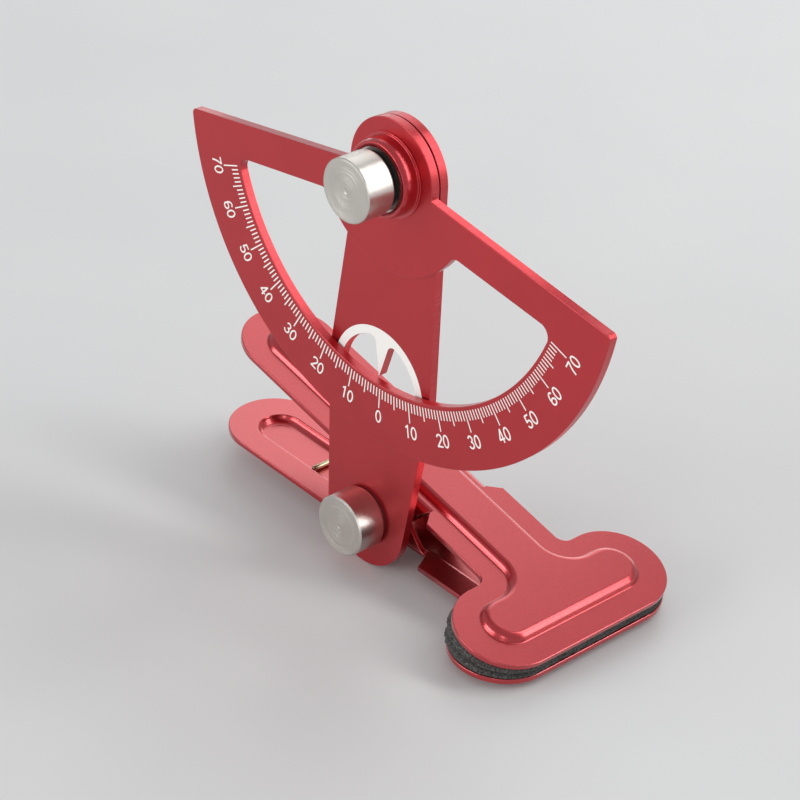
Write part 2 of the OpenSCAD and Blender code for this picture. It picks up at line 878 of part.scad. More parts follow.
wire_points = [for (s = wire_path) for (p = wire_ring(s)) p];
wire_faces = concat(
    [for (k = [1 : wire_sides - 2]) [0, k + 1, k]],
    [for (i = [0 : len(wire_path) - 2]) for (k = [0 : wire_sides - 1])
        let (a = i * wire_sides + k, b = i * wire_sides + (k + 1) % wire_sides)
        [a, b, b + wire_sides]
    ],
    [for (i = [0 : len(wire_path) - 2]) for (k = [0 : wire_sides - 1])
        let (a = i * wire_sides + k, b = i * wire_sides + (k + 1) % wire_sides)
        [a, b + wire_sides, a + wire_sides]
    ],
    [let (e = (len(wire_path) - 1) * wire_sides) for (k = [1 : wire_sides - 2]) [e, e + k, e + k + 1]]
);

// Least gap of the coil to itself, between points at least three quarters of a turn apart
coil_pts = [for (s = coil_path()) for (p = wire_ring(s)) p];
coil_gap = min([
    for (i = [0 : coil_steps - 6]) for (k = [0 : wire_sides - 1])
        for (j = [(i + 6) * wire_sides : min(len(coil_pts), (i + 11) * wire_sides) - 1])
            norm(coil_pts[i * wire_sides + k] - coil_pts[j])
]);
echo(coil_least_gap_mm = coil_gap);

module torsion_spring() {
    color(steel) at_hinge() translate([0, clip_mid, 0])
        polyhedron(points = wire_points, faces = wire_faces, convexity = 10);
}

scale_plate();
scale_hub();
bearing_outer_race();
bearing_inner_race();
bearing_balls();
bearing_cage();
bearing_front_seal();
bearing_rear_seal();
front_race_spacer();
rear_race_spacer();
top_pivot_screw();
top_knob();
pointer_post();
bottom_knob();
bottom_knob_washer();
hinge_screw();
hinge_lock_nut();
hinge_sleeve();
far_washer();
upper_jaw();
lower_jaw();
torsion_spring();
upper_foam_pad();
lower_foam_pad();
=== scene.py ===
import math

import bmesh
import bpy
import numpy as np
from mathutils import Matrix, Vector, geometry


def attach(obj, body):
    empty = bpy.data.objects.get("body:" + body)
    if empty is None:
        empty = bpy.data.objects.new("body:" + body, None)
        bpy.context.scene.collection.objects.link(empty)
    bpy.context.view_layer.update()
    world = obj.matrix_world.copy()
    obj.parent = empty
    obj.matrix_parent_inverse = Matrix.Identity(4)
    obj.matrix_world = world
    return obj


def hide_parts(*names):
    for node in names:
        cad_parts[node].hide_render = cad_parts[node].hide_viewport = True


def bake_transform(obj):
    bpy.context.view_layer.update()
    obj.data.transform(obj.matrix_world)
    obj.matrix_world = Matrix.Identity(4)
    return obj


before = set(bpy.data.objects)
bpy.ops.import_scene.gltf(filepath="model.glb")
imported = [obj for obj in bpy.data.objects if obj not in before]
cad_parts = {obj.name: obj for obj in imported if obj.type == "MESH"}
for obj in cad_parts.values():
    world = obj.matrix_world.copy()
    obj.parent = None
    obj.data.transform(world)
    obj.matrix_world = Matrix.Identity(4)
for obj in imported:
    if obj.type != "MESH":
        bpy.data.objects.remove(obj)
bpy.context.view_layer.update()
scene = bpy.context.scene

# Sizes of the gauge in millimetres, as in the part's source
MM = 0.001
FRONT_Y = -13.05
LEAN = math.radians(3.44)
SPAN = 68.0
HINGE_Z = 9.5
HINGE = (-SPAN * math.sin(LEAN), HINGE_Z)
PIVOT = (0.0, HINGE_Z + SPAN * math.cos(LEAN))
SCALE_T = 1.6
POST_FRONT = 1.95
POST_T = 1.65
CLIP_MID = 13.55
CLIP_CENTRE = (HINGE[0], CLIP_MID + FRONT_Y, HINGE_Z)
SCREW_R = 2.5
SHEET = 1.0
PLATE_IN = 5.5
BEND = 0.5
UPPER_PITCH = 14.0
LOWER_PITCH = 2.439839
NECK = 9.1
HEAD_AT = 36.0
HEAD_R = 9.2
HEAD_Y = 12.95
HANDLE_END = 45.0
EAR_BASE = 9.8
SHOULDER = 1.6

# An angle past this counts as square to a plate's face
SQUARE = 1.57
# A length under this counts as nought
NOUGHT = 1e-6


# Points and outlines

def arc(centre, radius, start, end, step=3.0):
    """Points on a circle from one angle to another, in degrees, both ends included."""
    count = max(2, int(math.ceil(abs(end - start) / step)) + 1)
    angles = np.radians(np.linspace(start, end, count))
    return [(centre[0] + radius * math.cos(a), centre[1] + radius * math.sin(a)) for a in angles]


def turned_by(points, degrees):
    """Points turned about the origin."""
    c = math.cos(math.radians(degrees))
    s = math.sin(math.radians(degrees))
    return [(x * c - z * s, x * s + z * c) for x, z in points]


def with_mirror(right):
    """The right half of an outline and its mirror image across the upright line, as one loop."""
    return right + [(-x, z) for x, z in reversed(right)]


def both_sides(side):
    """Half of a sheet's outline and its mirror image across the clip's middle, as one loop."""
    return side + [(u, -s) for u, s in reversed(side)]


def tidy_loop(points, least=0.004):
    """A closed loop without doubled points."""
    kept = []
    for p in points:
        if not kept or math.dist(p, kept[-1]) > least:
            kept.append(p)
    if math.dist(kept[0], kept[-1]) <= least:
        kept.pop()
    return np.array(kept, float)


def signed_area(loop):
    x, z = loop[:, 0], loop[:, 1]
    return 0.5 * float(np.sum(x * np.roll(z, -1) - np.roll(x, -1) * z))


def unit(rows):
    """Each row scaled to length one."""
    return rows / np.maximum(np.linalg.norm(rows, axis=1), 1e-9)[:, None]


def inward(loop, solid_inside):
    """At each corner of a loop, the step into the material that moves both its edges by one."""
    if (signed_area(loop) > 0) != solid_inside:
        loop = loop[::-1]
    ahead = unit(np.roll(loop, -1, axis=0) - loop)
    behind = np.roll(ahead, 1, axis=0)
    n1 = np.stack([-behind[:, 1], behind[:, 0]], axis=1)
    n2 = np.stack([-ahead[:, 1], ahead[:, 0]], axis=1)
    both = unit(n1 + n2)
    share = np.maximum(np.sum(both * n1, axis=1), 0.5)
    return loop, both / share[:, None], both


def fill_loops(loops):
    """Triangles between one outer loop and its holes, as indices into all points in order."""
    chains = [[Vector((p[0], p[1], 0.0)) for p in loop] for loop in loops]
    return geometry.tessellate_polygon(chains)


def ring_faces(one, two, count):
    """Faces between two closed rings of points, given by the number of each ring's first point."""
    return [(one + i, one + (i + 1) % count, two + (i + 1) % count, two + i) for i in range(count)]


def add_piece(name, points, faces, normals=None, marks=None):
    """A mesh in metres from points in millimetres, with its own normals and point attributes."""
    points = np.asarray(points, float)
    mesh = bpy.data.meshes.new(name)
    mesh.from_pydata((points * MM).tolist(), [], [tuple(f) for f in faces])
    work = bmesh.new()
    work.from_mesh(mesh)
    bmesh.ops.recalc_face_normals(work, faces=work.faces)
    work.to_mesh(mesh)
    work.free()
    mesh.polygons.foreach_set("use_smooth", np.ones(len(mesh.polygons), bool))
    mesh.update()
    for mark, values in (marks or {}).items():
        attribute = mesh.attributes.new(mark, "FLOAT", "POINT")
        attribute.data.foreach_set("value", np.asarray(values, np.float32))
    if normals is not None:
        mesh.normals_split_custom_set_from_vertices(unit(np.asarray(normals, float)).tolist())
    piece = bpy.data.objects.new(name, mesh)
    scene.collection.objects.link(piece)
    return piece


REAR_EDGE = 0.05


def flat_plate(name, loops, y0, thickness, edge, centre, lean=0.0, steps=4):
    """A plate in the upright plane with rounded edges. Loops are in millimetres about centre."""
    points, normals, edge_wear_and_highlight, walls, faces = [], [], [], [], []
    caps = {0: [], 1: []}
    for index, raw in enumerate(loops):
        loop, step, outward = inward(tidy_loop(raw), index == 0)
        count = len(loop)
        rings = []
        for side in (0, 1):
            for k in range(steps + 1):
                a = math.radians(90.0 * (k if side == 0 else steps - k) / steps)
                own = edge if side == 0 else min(edge, REAR_EDGE)
                flat = loop + step * own * (1 - math.sin(a))
                depth = own * (1 - math.cos(a))
                y = y0 + depth if side == 0 else y0 + thickness - depth
                facing = -math.cos(a) if side == 0 else math.cos(a)
                rings.append(len(points))
                for p, o in zip(flat, outward):
                    points.append((p[0], y, p[1]))
                    normals.append((-o[0] * math.sin(a), facing, -o[1] * math.sin(a)))
                    # Pale-edge mark on the front rounding only: partly thinned dye, partly a painted
                    # highlight. The rear edge gets none.
                    edge_wear_and_highlight.append(math.sin(2 * a) if side == 0 and k else 0.0)
                    walls.append(1.0 if a > SQUARE else 0.0)
        for one, two in zip(rings, rings[1:]):
            faces += ring_faces(one, two, count)
        caps[0].append(range(rings[0], rings[0] + count))
        caps[1].append(range(rings[-1], rings[-1] + count))
    for rims in caps.values():
        chains = [[(points[i][0], points[i][2]) for i in rim] for rim in rims]
        numbers = [i for rim in rims for i in rim]
        faces += [[numbers[i] for i in tri] for tri in fill_loops(chains)]
    c, s = math.cos(lean), math.sin(lean)
    placed = [(centre[0] + x * c + z * s, y + FRONT_Y, centre[1] - x * s + z * c) for x, y, z in points]
    turned = [(x * c + z * s, y, -x * s + z * c) for x, y, z in normals]
    return add_piece(name, placed, faces, turned, {"edge_wear_and_highlight": edge_wear_and_highlight, "wall": walls})


def rounded_profile(corners, steps=4):
    """A closed profile of (radius, level, rounding) corners, rounded. Gives points and normals."""
    flat = np.array([corner[:2] for corner in corners], float)
    turn = 1.0 if signed_area(flat) > 0 else -1.0
    pts, nrm = [], []
    for i, (before, p, after) in enumerate(zip(np.roll(flat, 1, axis=0), flat, np.roll(flat, -1, axis=0))):
        if p[0] < NOUGHT:
            d = after - p if before[0] < NOUGHT else p - before
            d /= np.linalg.norm(d)
            pts.append(p)
            nrm.append(turn * np.array([d[1], -d[0]]))
            continue
        u, v = p - before, after - p
        lu, lv = np.linalg.norm(u), np.linalg.norm(v)
        u, v = u / lu, v / lv
        bend = math.acos(float(np.clip(u @ v, -1, 1)))
        back = min(corners[i][2] * math.tan(bend / 2), 0.45 * lu, 0.45 * lv)
        n1 = turn * np.array([u[1], -u[0]])
        n2 = turn * np.array([v[1], -v[0]])
        start, end = p - u * back, p + v * back
        for k in range(steps + 1):
            f = k / steps
            mix = n1 * (1 - f) + n2 * f
            mix /= np.linalg.norm(mix)
            pts.append((1 - f) ** 2 * start + 2 * f * (1 - f) * p + f * f * end)
            nrm.append(mix)
    return np.array(pts), np.array(nrm)


def with_tool_rings(pts, nrm, pitch, on_face, on_side, seed):
    """Fine tool rings on a profile's long straight runs: the normal rocks from ring to ring."""
    rng = np.random.default_rng(seed)
    out_p, out_n = [pts[0]], [nrm[0]]
    for a, b, n in zip(pts, pts[1:], nrm[1:]):
        length = float(np.linalg.norm(b - a))
        in_bore = max(a[0], b[0]) < SCREW_R + 0.1 and abs(a[0] - b[0]) < 0.1
        if length > 4 * pitch and not in_bore:
            count = int(length / pitch)
            along = (b - a) / length
            tilt = on_face if abs(along[0]) > 0.9 else on_side
            for i in range(1, count):
                rock = math.radians(tilt) * rng.uniform(0.35, 1.0) * (1 if i % 2 else -1)
                out_p.append(a + (b - a) * (i + rng.uniform(-0.2, 0.2)) / count)
                out_n.append(n * math.cos(rock) + along * math.sin(rock))
        out_p.append(b)
        out_n.append(n)
    return np.array(out_p), np.array(out_n)


def turned_piece(name, corners, centre, around=144, rings=None):
    """A piece turned about the depth axis through centre, from its profile's corners."""
    pts, nrm = rounded_profile(corners)
    if rings:
        pts, nrm = with_tool_rings(pts, nrm, *rings)
    lengths = np.concatenate([[0], np.cumsum(np.linalg.norm(np.diff(pts, axis=0), axis=1))])
    points, normals, along, faces, rows = [], [], [], [], []
    for (r, y), (nr, ny), run in zip(pts, nrm, lengths):
        if r < NOUGHT:
            rows.append((len(points), 1))
            points.append((centre[0], y + FRONT_Y, centre[1]))
            normals.append((0, ny, 0))
            along.append(run)
            continue
        rows.append((len(points), around))
        for k in range(around):
            a = 2 * math.pi * k / around
            points.append((centre[0] + r * math.cos(a), y + FRONT_Y, centre[1] + r * math.sin(a)))
            normals.append((nr * math.cos(a), ny, nr * math.sin(a)))
            along.append(run)
    links = list(zip(rows, rows[1:]))
    if rows[0][1] > 1 and rows[-1][1] > 1:
        links.append((rows[-1], rows[0]))
    for (first, n1), (second, n2) in links:
        for k in range(around):
            j = (k + 1) % around
            if n1 == 1:
                faces.append((first, second + k, second + j))
            elif n2 == 1:
                faces.append((first + k, second, first + j))
            else:
                faces.append((first + k, second + k, second + j, first + j))
    return add_piece(name, points, faces, normals, {"profile": along})


# Shader trees

class Num:
    """A number that varies over a surface. Arithmetic on it adds Math nodes."""

    def __init__(self, finish, socket):
        self.finish = finish
        self.socket = socket

    def math(self, operation, *values):
        node = self.finish.node("ShaderNodeMath", {"operation": operation}, dict(enumerate(values)))
        return Num(self.finish, node.outputs[0])

    def __add__(self, other):
        return self.math("ADD", self, other)

    def __radd__(self, other):
        return self.math("ADD", other, self)

    def __sub__(self, other):
        return self.math("SUBTRACT", self, other)

    def __rsub__(self, other):
        return self.math("SUBTRACT", other, self)

    def __mul__(self, other):
        return self.math("MULTIPLY", self, other)

    def __rmul__(self, other):
        return self.math("MULTIPLY", other, self)

    def sine(self):
        return self.math("SINE", self)

    def held(self):
        """Kept between nought and one."""
        return self.math("MAXIMUM", self.math("MINIMUM", self, 1.0), 0.0)


def make_node(tree, kind, settings=None, sockets=None):
    """One node: its settings first, then the values or links of its sockets."""
    made = tree.nodes.new(kind)
    for key, value in (settings or {}).items():
        setattr(made, key, value)
    for key, value in (sockets or {}).items():
        if isinstance(value, Num):
            value = value.socket
        if isinstance(value, bpy.types.NodeSocket):
            tree.links.new(value, made.inputs[key])
        else:
            made.inputs[key].default_value = value
    return made


class Finish:
    """One material, built node by node. Patterns are laid out in millimetres."""

    def __init__(self, name):
        self.material = bpy.data.materials.new(name)
        self.material.use_nodes = True
        self.tree = self.material.node_tree
        self.tree.nodes.clear()

    def node(self, kind, settings=None, sockets=None):
        return make_node(self.tree, kind, settings, sockets)

    def place(self, stretch=(1.0, 1.0, 1.0)):
        """Object coordinates in millimetres, stretched."""
        coords = self.node("ShaderNodeTexCoord").outputs["Object"]
        scale = tuple(s / MM for s in stretch)
        return self.node("ShaderNodeMapping", {}, {"Vector": coords, "Scale": scale}).outputs[0]

    def noise(self, scale, detail=2.0, rough=0.5, stretch=(1.0, 1.0, 1.0)):
        sockets = {"Vector": self.place(stretch), "Scale": scale, "Detail": detail, "Roughness": rough}
        return Num(self, self.node("ShaderNodeTexNoise", {}, sockets).outputs[0])

    def tool_rings(self, run, scale):
        """Noise along a turned profile alone, so that it goes round the piece in rings."""
        sockets = {"W": run, "Scale": scale, "Detail": 3.0}
        return Num(self, self.node("ShaderNodeTexNoise", {"noise_dimensions": "1D"}, sockets).outputs[0])

    def mark(self, name):
        return Num(self, self.node("ShaderNodeAttribute", {"attribute_name": name}).outputs["Fac"])

    def blend_colours(self, share, first, second):
        made = self.node("ShaderNodeMix", {"data_type": "RGBA"}, {0: share, 6: first, 7: second})
        return made.outputs[2]

    def bump(self, height, strength, depth):
        sockets = {"Height": height, "Strength": strength, "Distance": depth * MM}
        return self.node("ShaderNodeBump", {}, sockets).outputs[0]

    def surface(self, colour, rough, normal=None, **constants):
        """The Principled shader and the output. Constants go on the shader's own sockets."""
        sockets = {"Base Color": colour, "Roughness": rough}
        if normal is not None:
            sockets["Normal"] = normal
        sockets.update({key.replace("_", " "): value for key, value in constants.items()})
        shader = self.node("ShaderNodeBsdfPrincipled", {}, sockets)
        self.node("ShaderNodeOutputMaterial", {}, {"Surface": shader.outputs[0]})
        return self.material


def srgb(r, g, b):
    """A colour given as on the screen, 0 to 255, as the shader wants it."""
    parts = [v / 255.0 for v in (r, g, b)]
    return tuple(v / 12.92 if v <= 0.04045 else ((v + 0.055) / 1.055) ** 2.4 for v in parts) + (1.0,)


def red_anodised(name, coat, sealing, polish):
    """Bead-blasted aluminium dyed red: fine even grain; paler along the rounded edges, partly where an edge
    thins the dye and partly as a painted highlight.
    """
    f = Finish(name)
    grain = f.noise(9.0, 3.0, 0.6)
    cloud = f.noise(0.09)
    specks = f.noise(2.6, 1.0, 0.4)
    shade = cloud * 0.5 + grain * 0.35 + specks * 0.15
    body = f.blend_colours(shade, srgb(174, 26, 36), srgb(200, 42, 51))
    # Painted highlight: the rounded edges are blended towards pale pink, partly for dye thinned at an edge
    # and partly to stand in for the light the edges catch.
    edge = (f.mark("edge_wear_and_highlight") * (specks * 1.2 + 0.25) * 0.2).held()
    cuts = f.noise(5.5, 3.0, 0.65, (1.0, 0.04, 1.0))
    marks = f.mark("wall") * (cuts - 0.5)
    dyed = f.blend_colours((marks * 1.4).held(), body, srgb(222, 96, 104))
    colour = f.blend_colours(edge, dyed, srgb(232, 128, 134))
    rough = polish + grain * 0.1 + cloud * 0.05
    normal = f.bump(grain + marks * 1.8, 0.22, 0.02)
    coating = {"Coat_Weight": coat, "Coat_IOR": sealing, "Coat_Roughness": polish}
    return f.surface(colour, rough, normal, Metallic=0.82, **coating)


def red_turned():
    """The same dye on turned metal: brighter, with the tool's fine rings."""
    f = Finish("red_turned_aluminium")
    rings = f.tool_rings(f.mark("profile"), 9.0)
    grain = f.noise(7.0, 3.0, 0.6)
    body = f.blend_colours(rings * 0.6 + grain * 0.4, srgb(182, 34, 43), srgb(212, 54, 64))
    normal = f.bump(rings + grain * 0.2, 0.25, 0.01)
    rough = 0.2 + rings * 0.07 + grain * 0.05
    return f.surface(body, rough, normal, Metallic=0.86, Coat_Weight=1.0, Coat_Roughness=0.16)


def turned_steel():
    """Bright lathe-turned steel: the tool's rings follow the profile of each piece."""
    f = Finish("turned_steel")
    run = f.mark("profile")
    coarse = (run * (2 * math.pi / 0.23)).sine()
    fine = (run * (2 * math.pi / 0.091)).sine()
    rings = f.tool_rings(run, 14.0)
    smear = f.noise(0.5)
    height = coarse * 0.18 + fine * 0.12 + rings * 1.4
    colour = f.blend_colours(rings * 0.7 + smear * 0.3, srgb(187, 182, 175), srgb(220, 215, 208))
    rough = 0.25 + rings * 0.1 + smear * 0.05
    normal = f.bump(height, 0.3, 0.01)
    return f.surface(colour, rough, normal, Metallic=1.0)


def plain_steel(name, dark, light, rough_low, grain_scale=3.0):
    """A steel or plated finish with light scuffs."""
    f = Finish(name)
    scuffs = f.noise(grain_scale, 3.0, 0.6, (1.0, 0.25, 1.0))
    cloud = f.noise(0.35)
    colour = f.blend_colours(scuffs * 0.6 + cloud * 0.4, dark, light)
    rough = rough_low + scuffs * 0.14
    normal = f.bump(scuffs, 0.15, 0.01)
    return f.surface(colour, rough, normal, Metallic=1.0)


def seal_rubber():
    f = Finish("seal_rubber")
    grain = f.noise(6.0, 3.0, 0.6)
    colour = f.blend_colours(grain, srgb(36, 36, 33), srgb(64, 63, 57))
    return f.surface(colour, 0.5 + grain * 0.2, f.bump(grain, 0.2, 0.02))


def foam_rubber():
    """Charcoal foam: open cells cut through at the edge, with pale crumbs."""
    f = Finish("foam_rubber")
    cells = {"Vector": f.place(), "Scale": 2.4, "Randomness": 1.0}
    pore = Num(f, f.node("ShaderNodeTexVoronoi", {"feature": "F1"}, cells).outputs["Distance"])
    grain = f.noise(3.2, 4.0, 0.75)
    cloud = f.noise(0.6)
    shade = (pore * 0.8 + (grain - 0.5) * 2.4 + 0.1).held()
    body = f.blend_colours(shade, srgb(25, 24, 24), srgb(101, 98, 95))
    crumbs = ((grain - 0.6) * 12.0).held() * (cloud * 1.1)
    colour = f.blend_colours(crumbs.held(), body, srgb(172, 168, 162))
    height = pore * 0.8 + grain * 0.9
    return f.surface(colour, 0.93, f.bump(height, 1.0, 0.22))


def print_white():
    f = Finish("white_print")
    grain = f.noise(5.0, 3.0, 0.6)
    colour = f.blend_colours(grain, srgb(234, 230, 225), srgb(249, 246, 242))
    return f.surface(colour, 0.5 + grain * 0.1, f.bump(grain, 0.1, 0.01))


RED_PLATE = red_anodised("red_anodised_plate", 0.6, 1.5, 0.27)
RED_SHEET = red_anodised("red_anodised_sheet", 1.0, 1.6, 0.2)
RED_TURNED = red_turned()
TURNED = turned_steel()
POLISHED = plain_steel("bearing_steel", srgb(178, 177, 174), srgb(216, 215, 212), 0.12, 5.0)
ZINC = plain_steel("zinc_steel", srgb(140, 140, 138), srgb(186, 186, 182), 0.24)
BRASS = plain_steel("cage_brass", srgb(170, 140, 74), srgb(206, 176, 104), 0.25)
# The spring wire's warm, brass-like tint is a painted reflection of its warm red surroundings, not the
# steel's own colour.
WIRE = plain_steel("spring_steel", srgb(150, 138, 112), srgb(204, 192, 160), 0.2)
RUBBER = seal_rubber()
FOAM = foam_rubber()
WHITE = print_white()


def finish_piece(piece, material, body, nodes=()):
    """Gives a piece its material, its body and the nodes that it stands for."""
    piece.data.materials.clear()
    piece.data.materials.append(material)
    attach(piece, body)
    if nodes:
        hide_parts(*nodes)


# Scale plate

SCALE_R = 50.25
WINDOW_R = 39.3
LOBE_R = 17.35
SPIGOT_HOLE_R = 6.21
SCALE_EDGE = 0.14


def scale_outline():
    """The half-moon: its two arms fall away by the slope from the round top to the rounded tips."""
    rise, slope, tip_r, top_r = 0.5, 9.1, 0.9, 9.65
    tip = (math.sqrt((SCALE_R - tip_r) ** 2 - (rise - tip_r) ** 2), rise - tip_r)
    tip_a = math.degrees(math.atan2(tip[1], tip[0]))
    at = math.degrees(math.asin(rise / top_r))
    right = arc((0, 0), SCALE_R, -90, tip_a - slope, 1.0)
    right += turned_by(arc(tip, tip_r, tip_a, 90, 8.0), -slope)
    right += arc((0, 0), top_r, at - slope, 90, 3.0)
    return with_mirror(right)


def scale_window():
    """The one window below the arms, round the hub's lobe, with corners of radius corner_r."""
    drop, slope, corner_r = 6.3, 8.5, 2.0
    far = (math.sqrt((WINDOW_R - corner_r) ** 2 - (drop + corner_r) ** 2), -drop - corner_r)
    near = (math.sqrt((LOBE_R + corner_r) ** 2 - (drop + corner_r) ** 2), -drop - corner_r)
    far_a = math.degrees(math.atan2(far[1], far[0]))
    near_a = math.degrees(math.atan2(-near[1], -near[0]))
    right = arc((0, 0), WINDOW_R, -90, far_a - slope, 1.0)
    right += turned_by(arc(far, corner_r, far_a, 90, 5.0), -slope)
    right += turned_by(arc(near, corner_r, 90, near_a, 5.0), -slope)
    right += arc((0, 0), LOBE_R, math.degrees(math.atan2(near[1], near[0])) - slope, -90, 2.0)
    return with_mirror(right)


plate_loops = [scale_outline(), scale_window(), arc((0, 0), SPIGOT_HOLE_R, 0, 357, 3.0)]
plate = flat_plate("scale_plate_red", plate_loops, 0.0, SCALE_T, SCALE_EDGE, PIVOT)
finish_piece(plate, RED_PLATE, "scale", ["scale_plate"])


# Printed ticks: one bar per degree, longer at each fifth and each tenth

PRINT_T = 0.012
LAST_DEGREE = 70
TICK_SIZES = {
    "Count": 2 * LAST_DEGREE + 1,
    "First angle": math.radians(-LAST_DEGREE),
    "Step": math.radians(1),
    "Radius": 40.0 * MM,
    "Width": 0.23 * MM,
    "Depth": 2 * PRINT_T * MM,
    "Short": 1.7 * MM,
    "Middle": 2.5 * MM,
    "Long": 3.7 * MM,
    "Centre": (PIVOT[0] * MM, FRONT_Y * MM, PIVOT[1] * MM),
    "Print": WHITE,
}


def tick_tree():
    """Bars set out on a circle. Sizes are inputs; the bar's length follows its number."""
    tree = bpy.data.node_groups.new("scale_ticks", "GeometryNodeTree")
    face = tree.interface
    face.new_socket("Geometry", in_out="OUTPUT", socket_type="NodeSocketGeometry")
    kinds = {"Count": "Int", "Centre": "Vector", "Print": "Material"}
    for label in TICK_SIZES:
        face.new_socket(label, in_out="INPUT", socket_type="NodeSocket" + kinds.get(label, "Float"))
    start = tree.nodes.new("NodeGroupInput")

    def add(kind, settings=None, sockets=None):
        return make_node(tree, kind, settings, sockets)

    def calc(operation, a, b=0.0, c=0.0):
        return add("ShaderNodeMath", {"operation": operation}, {0: a, 1: b, 2: c}).outputs[0]

    size = start.outputs
    number = add("GeometryNodeInputIndex").outputs[0]
    points = add("GeometryNodeMeshLine", {"mode": "OFFSET"}, {"Count": size["Count"], "Offset": (0, 0, 0)})
    fifth = calc("COMPARE", calc("MODULO", number, 5.0), 0.0, 0.1)
    tenth = calc("COMPARE", calc("MODULO", number, 10.0), 0.0, 0.1)
    some = calc("MULTIPLY", fifth, calc("SUBTRACT", size["Middle"], size["Short"]))
    more = calc("MULTIPLY", tenth, calc("SUBTRACT", size["Long"], size["Middle"]))
    length = calc("ADD", size["Short"], calc("ADD", some, more))
    angle = calc("ADD", size["First angle"], calc("MULTIPLY", number, size["Step"]))
    reach = calc("ADD", size["Radius"], calc("MULTIPLY", length, 0.5))
    across = calc("MULTIPLY", calc("SINE", angle), reach)
    down = calc("MULTIPLY", calc("COSINE", angle), calc("MULTIPLY", reach, -1.0))
    place = add("ShaderNodeCombineXYZ", {}, {"X": across, "Z": down}).outputs[0]
    there = add("ShaderNodeVectorMath", {"operation": "ADD"}, {0: place, 1: size["Centre"]}).outputs[0]
    moved = add("GeometryNodeSetPosition", {}, {"Geometry": points.outputs[0], "Position": there})
    bar = add("GeometryNodeMeshCube", {}, {"Size": (1, 1, 1)})
    turn = add("ShaderNodeCombineXYZ", {}, {"Y": calc("MULTIPLY", angle, -1.0)}).outputs[0]
    scale = add("ShaderNodeCombineXYZ", {}, {"X": size["Width"], "Y": size["Depth"], "Z": length}).outputs[0]
    sockets = {"Points": moved.outputs[0], "Instance": bar.outputs[0], "Rotation": turn, "Scale": scale}
    bars = add("GeometryNodeInstanceOnPoints", {}, sockets)
    solid = add("GeometryNodeRealizeInstances", {}, {"Geometry": bars.outputs[0]})
    coated = add("GeometryNodeSetMaterial", {}, {"Geometry": solid.outputs[0], "Material": size["Print"]})
    end = tree.nodes.new("NodeGroupOutput")
    tree.links.new(coated.outputs[0], end.inputs[0])
    return tree


def made_by_nodes(name, tree, values):
    """Runs a node tree once and keeps its result as a plain mesh."""
    carrier = bpy.data.objects.new(name + "_carrier", bpy.data.meshes.new(name + "_carrier"))
    scene.collection.objects.link(carrier)
    modifier = carrier.modifiers.new("nodes", "NODES")
    modifier.node_group = tree
    for item in tree.interface.items_tree:
        if item.in_out == "INPUT":
            modifier[item.identifier] = values[item.name]
    bpy.context.view_layer.update()
    evaluated = carrier.evaluated_get(bpy.context.evaluated_depsgraph_get())
    mesh = bpy.data.meshes.new_from_object(evaluated)
    mesh.name = name
    piece = bpy.data.objects.new(name, mesh)
    scene.collection.objects.link(piece)
    carrier.modifiers.remove(modifier)
    bpy.data.objects.remove(carrier)
    return piece


ticks = made_by_nodes("scale_ticks_print", tick_tree(), TICK_SIZES)
finish_piece(ticks, WHITE, "scale")


def bow(x, y, half_w, half_h, start, end, step=10.0):
    """Points on part of an upright oval."""
    return [(x + half_w * px, y + half_h * py) for px, py in arc((0, 0), 1.0, start, end, step)]


# Widths and places in a digit are shares of its height
STROKE = 0.125
DIGIT_STEP = 0.66
NUMERAL_R = 45.35
NUMERAL_H = 2.4
CROSSING_LIFT = 0.0005
DIGITS = {
    "0": [bow(0, 0.5, 0.235, 0.4375, 90, 450)],
    "1": [[(0.06, 0.0), (0.06, 1.0)], [(0.05, 0.92), (-0.02, 0.83), (-0.17, 0.775)]],
    "2": [bow(0, 0.7, 0.225, 0.2375, 172, -36) + [(-0.22, 0.08)], [(-0.28, 0.0625), (0.29, 0.0625)]],
    "3": [bow(-0.01, 0.722, 0.19, 0.2155, 165, -88), bow(-0.01, 0.29, 0.225, 0.2275, 92, -170)],
    "4": [[(0.1, 0.0), (0.1, 1.0)], [(0.08, 0.94), (-0.25, 0.29)], [(-0.3, 0.27), (0.28, 0.27)]],
    "5": [
        [(0.23, 0.9375), (-0.17, 0.9375)],
        [(-0.13, 0.96), (-0.19, 0.46)],
        bow(0, 0.3125, 0.225, 0.25, 135, -168),
    ],
    "6": [bow(0, 0.29, 0.225, 0.2275, 90, 450), bow(0.03, 0.47, 0.255, 0.4675, 184, 48)],
    "7": [[(-0.27, 0.9375), (0.27, 0.9375)], [(0.23, 0.93), (0.07, 0.62), (-0.05, 0.3), (-0.1, 0.0)]],
}


def stroke_sides(path, closed):
    """The two sides of a pen stroke along a path."""
    path = np.array(path, float)
    ahead = unit(np.diff(path, axis=0))
    before = np.concatenate([ahead[-1:] if closed else ahead[:1], ahead])
    after = np.concatenate([ahead, ahead[:1] if closed else ahead[-1:]])
    mean = unit(before + after)
    share = np.maximum(np.sum(mean * before, axis=1), 0.6)
    across = np.stack([-mean[:, 1], mean[:, 0]], axis=1) * (STROKE / 2 / share)[:, None]
    return path + across, path - across


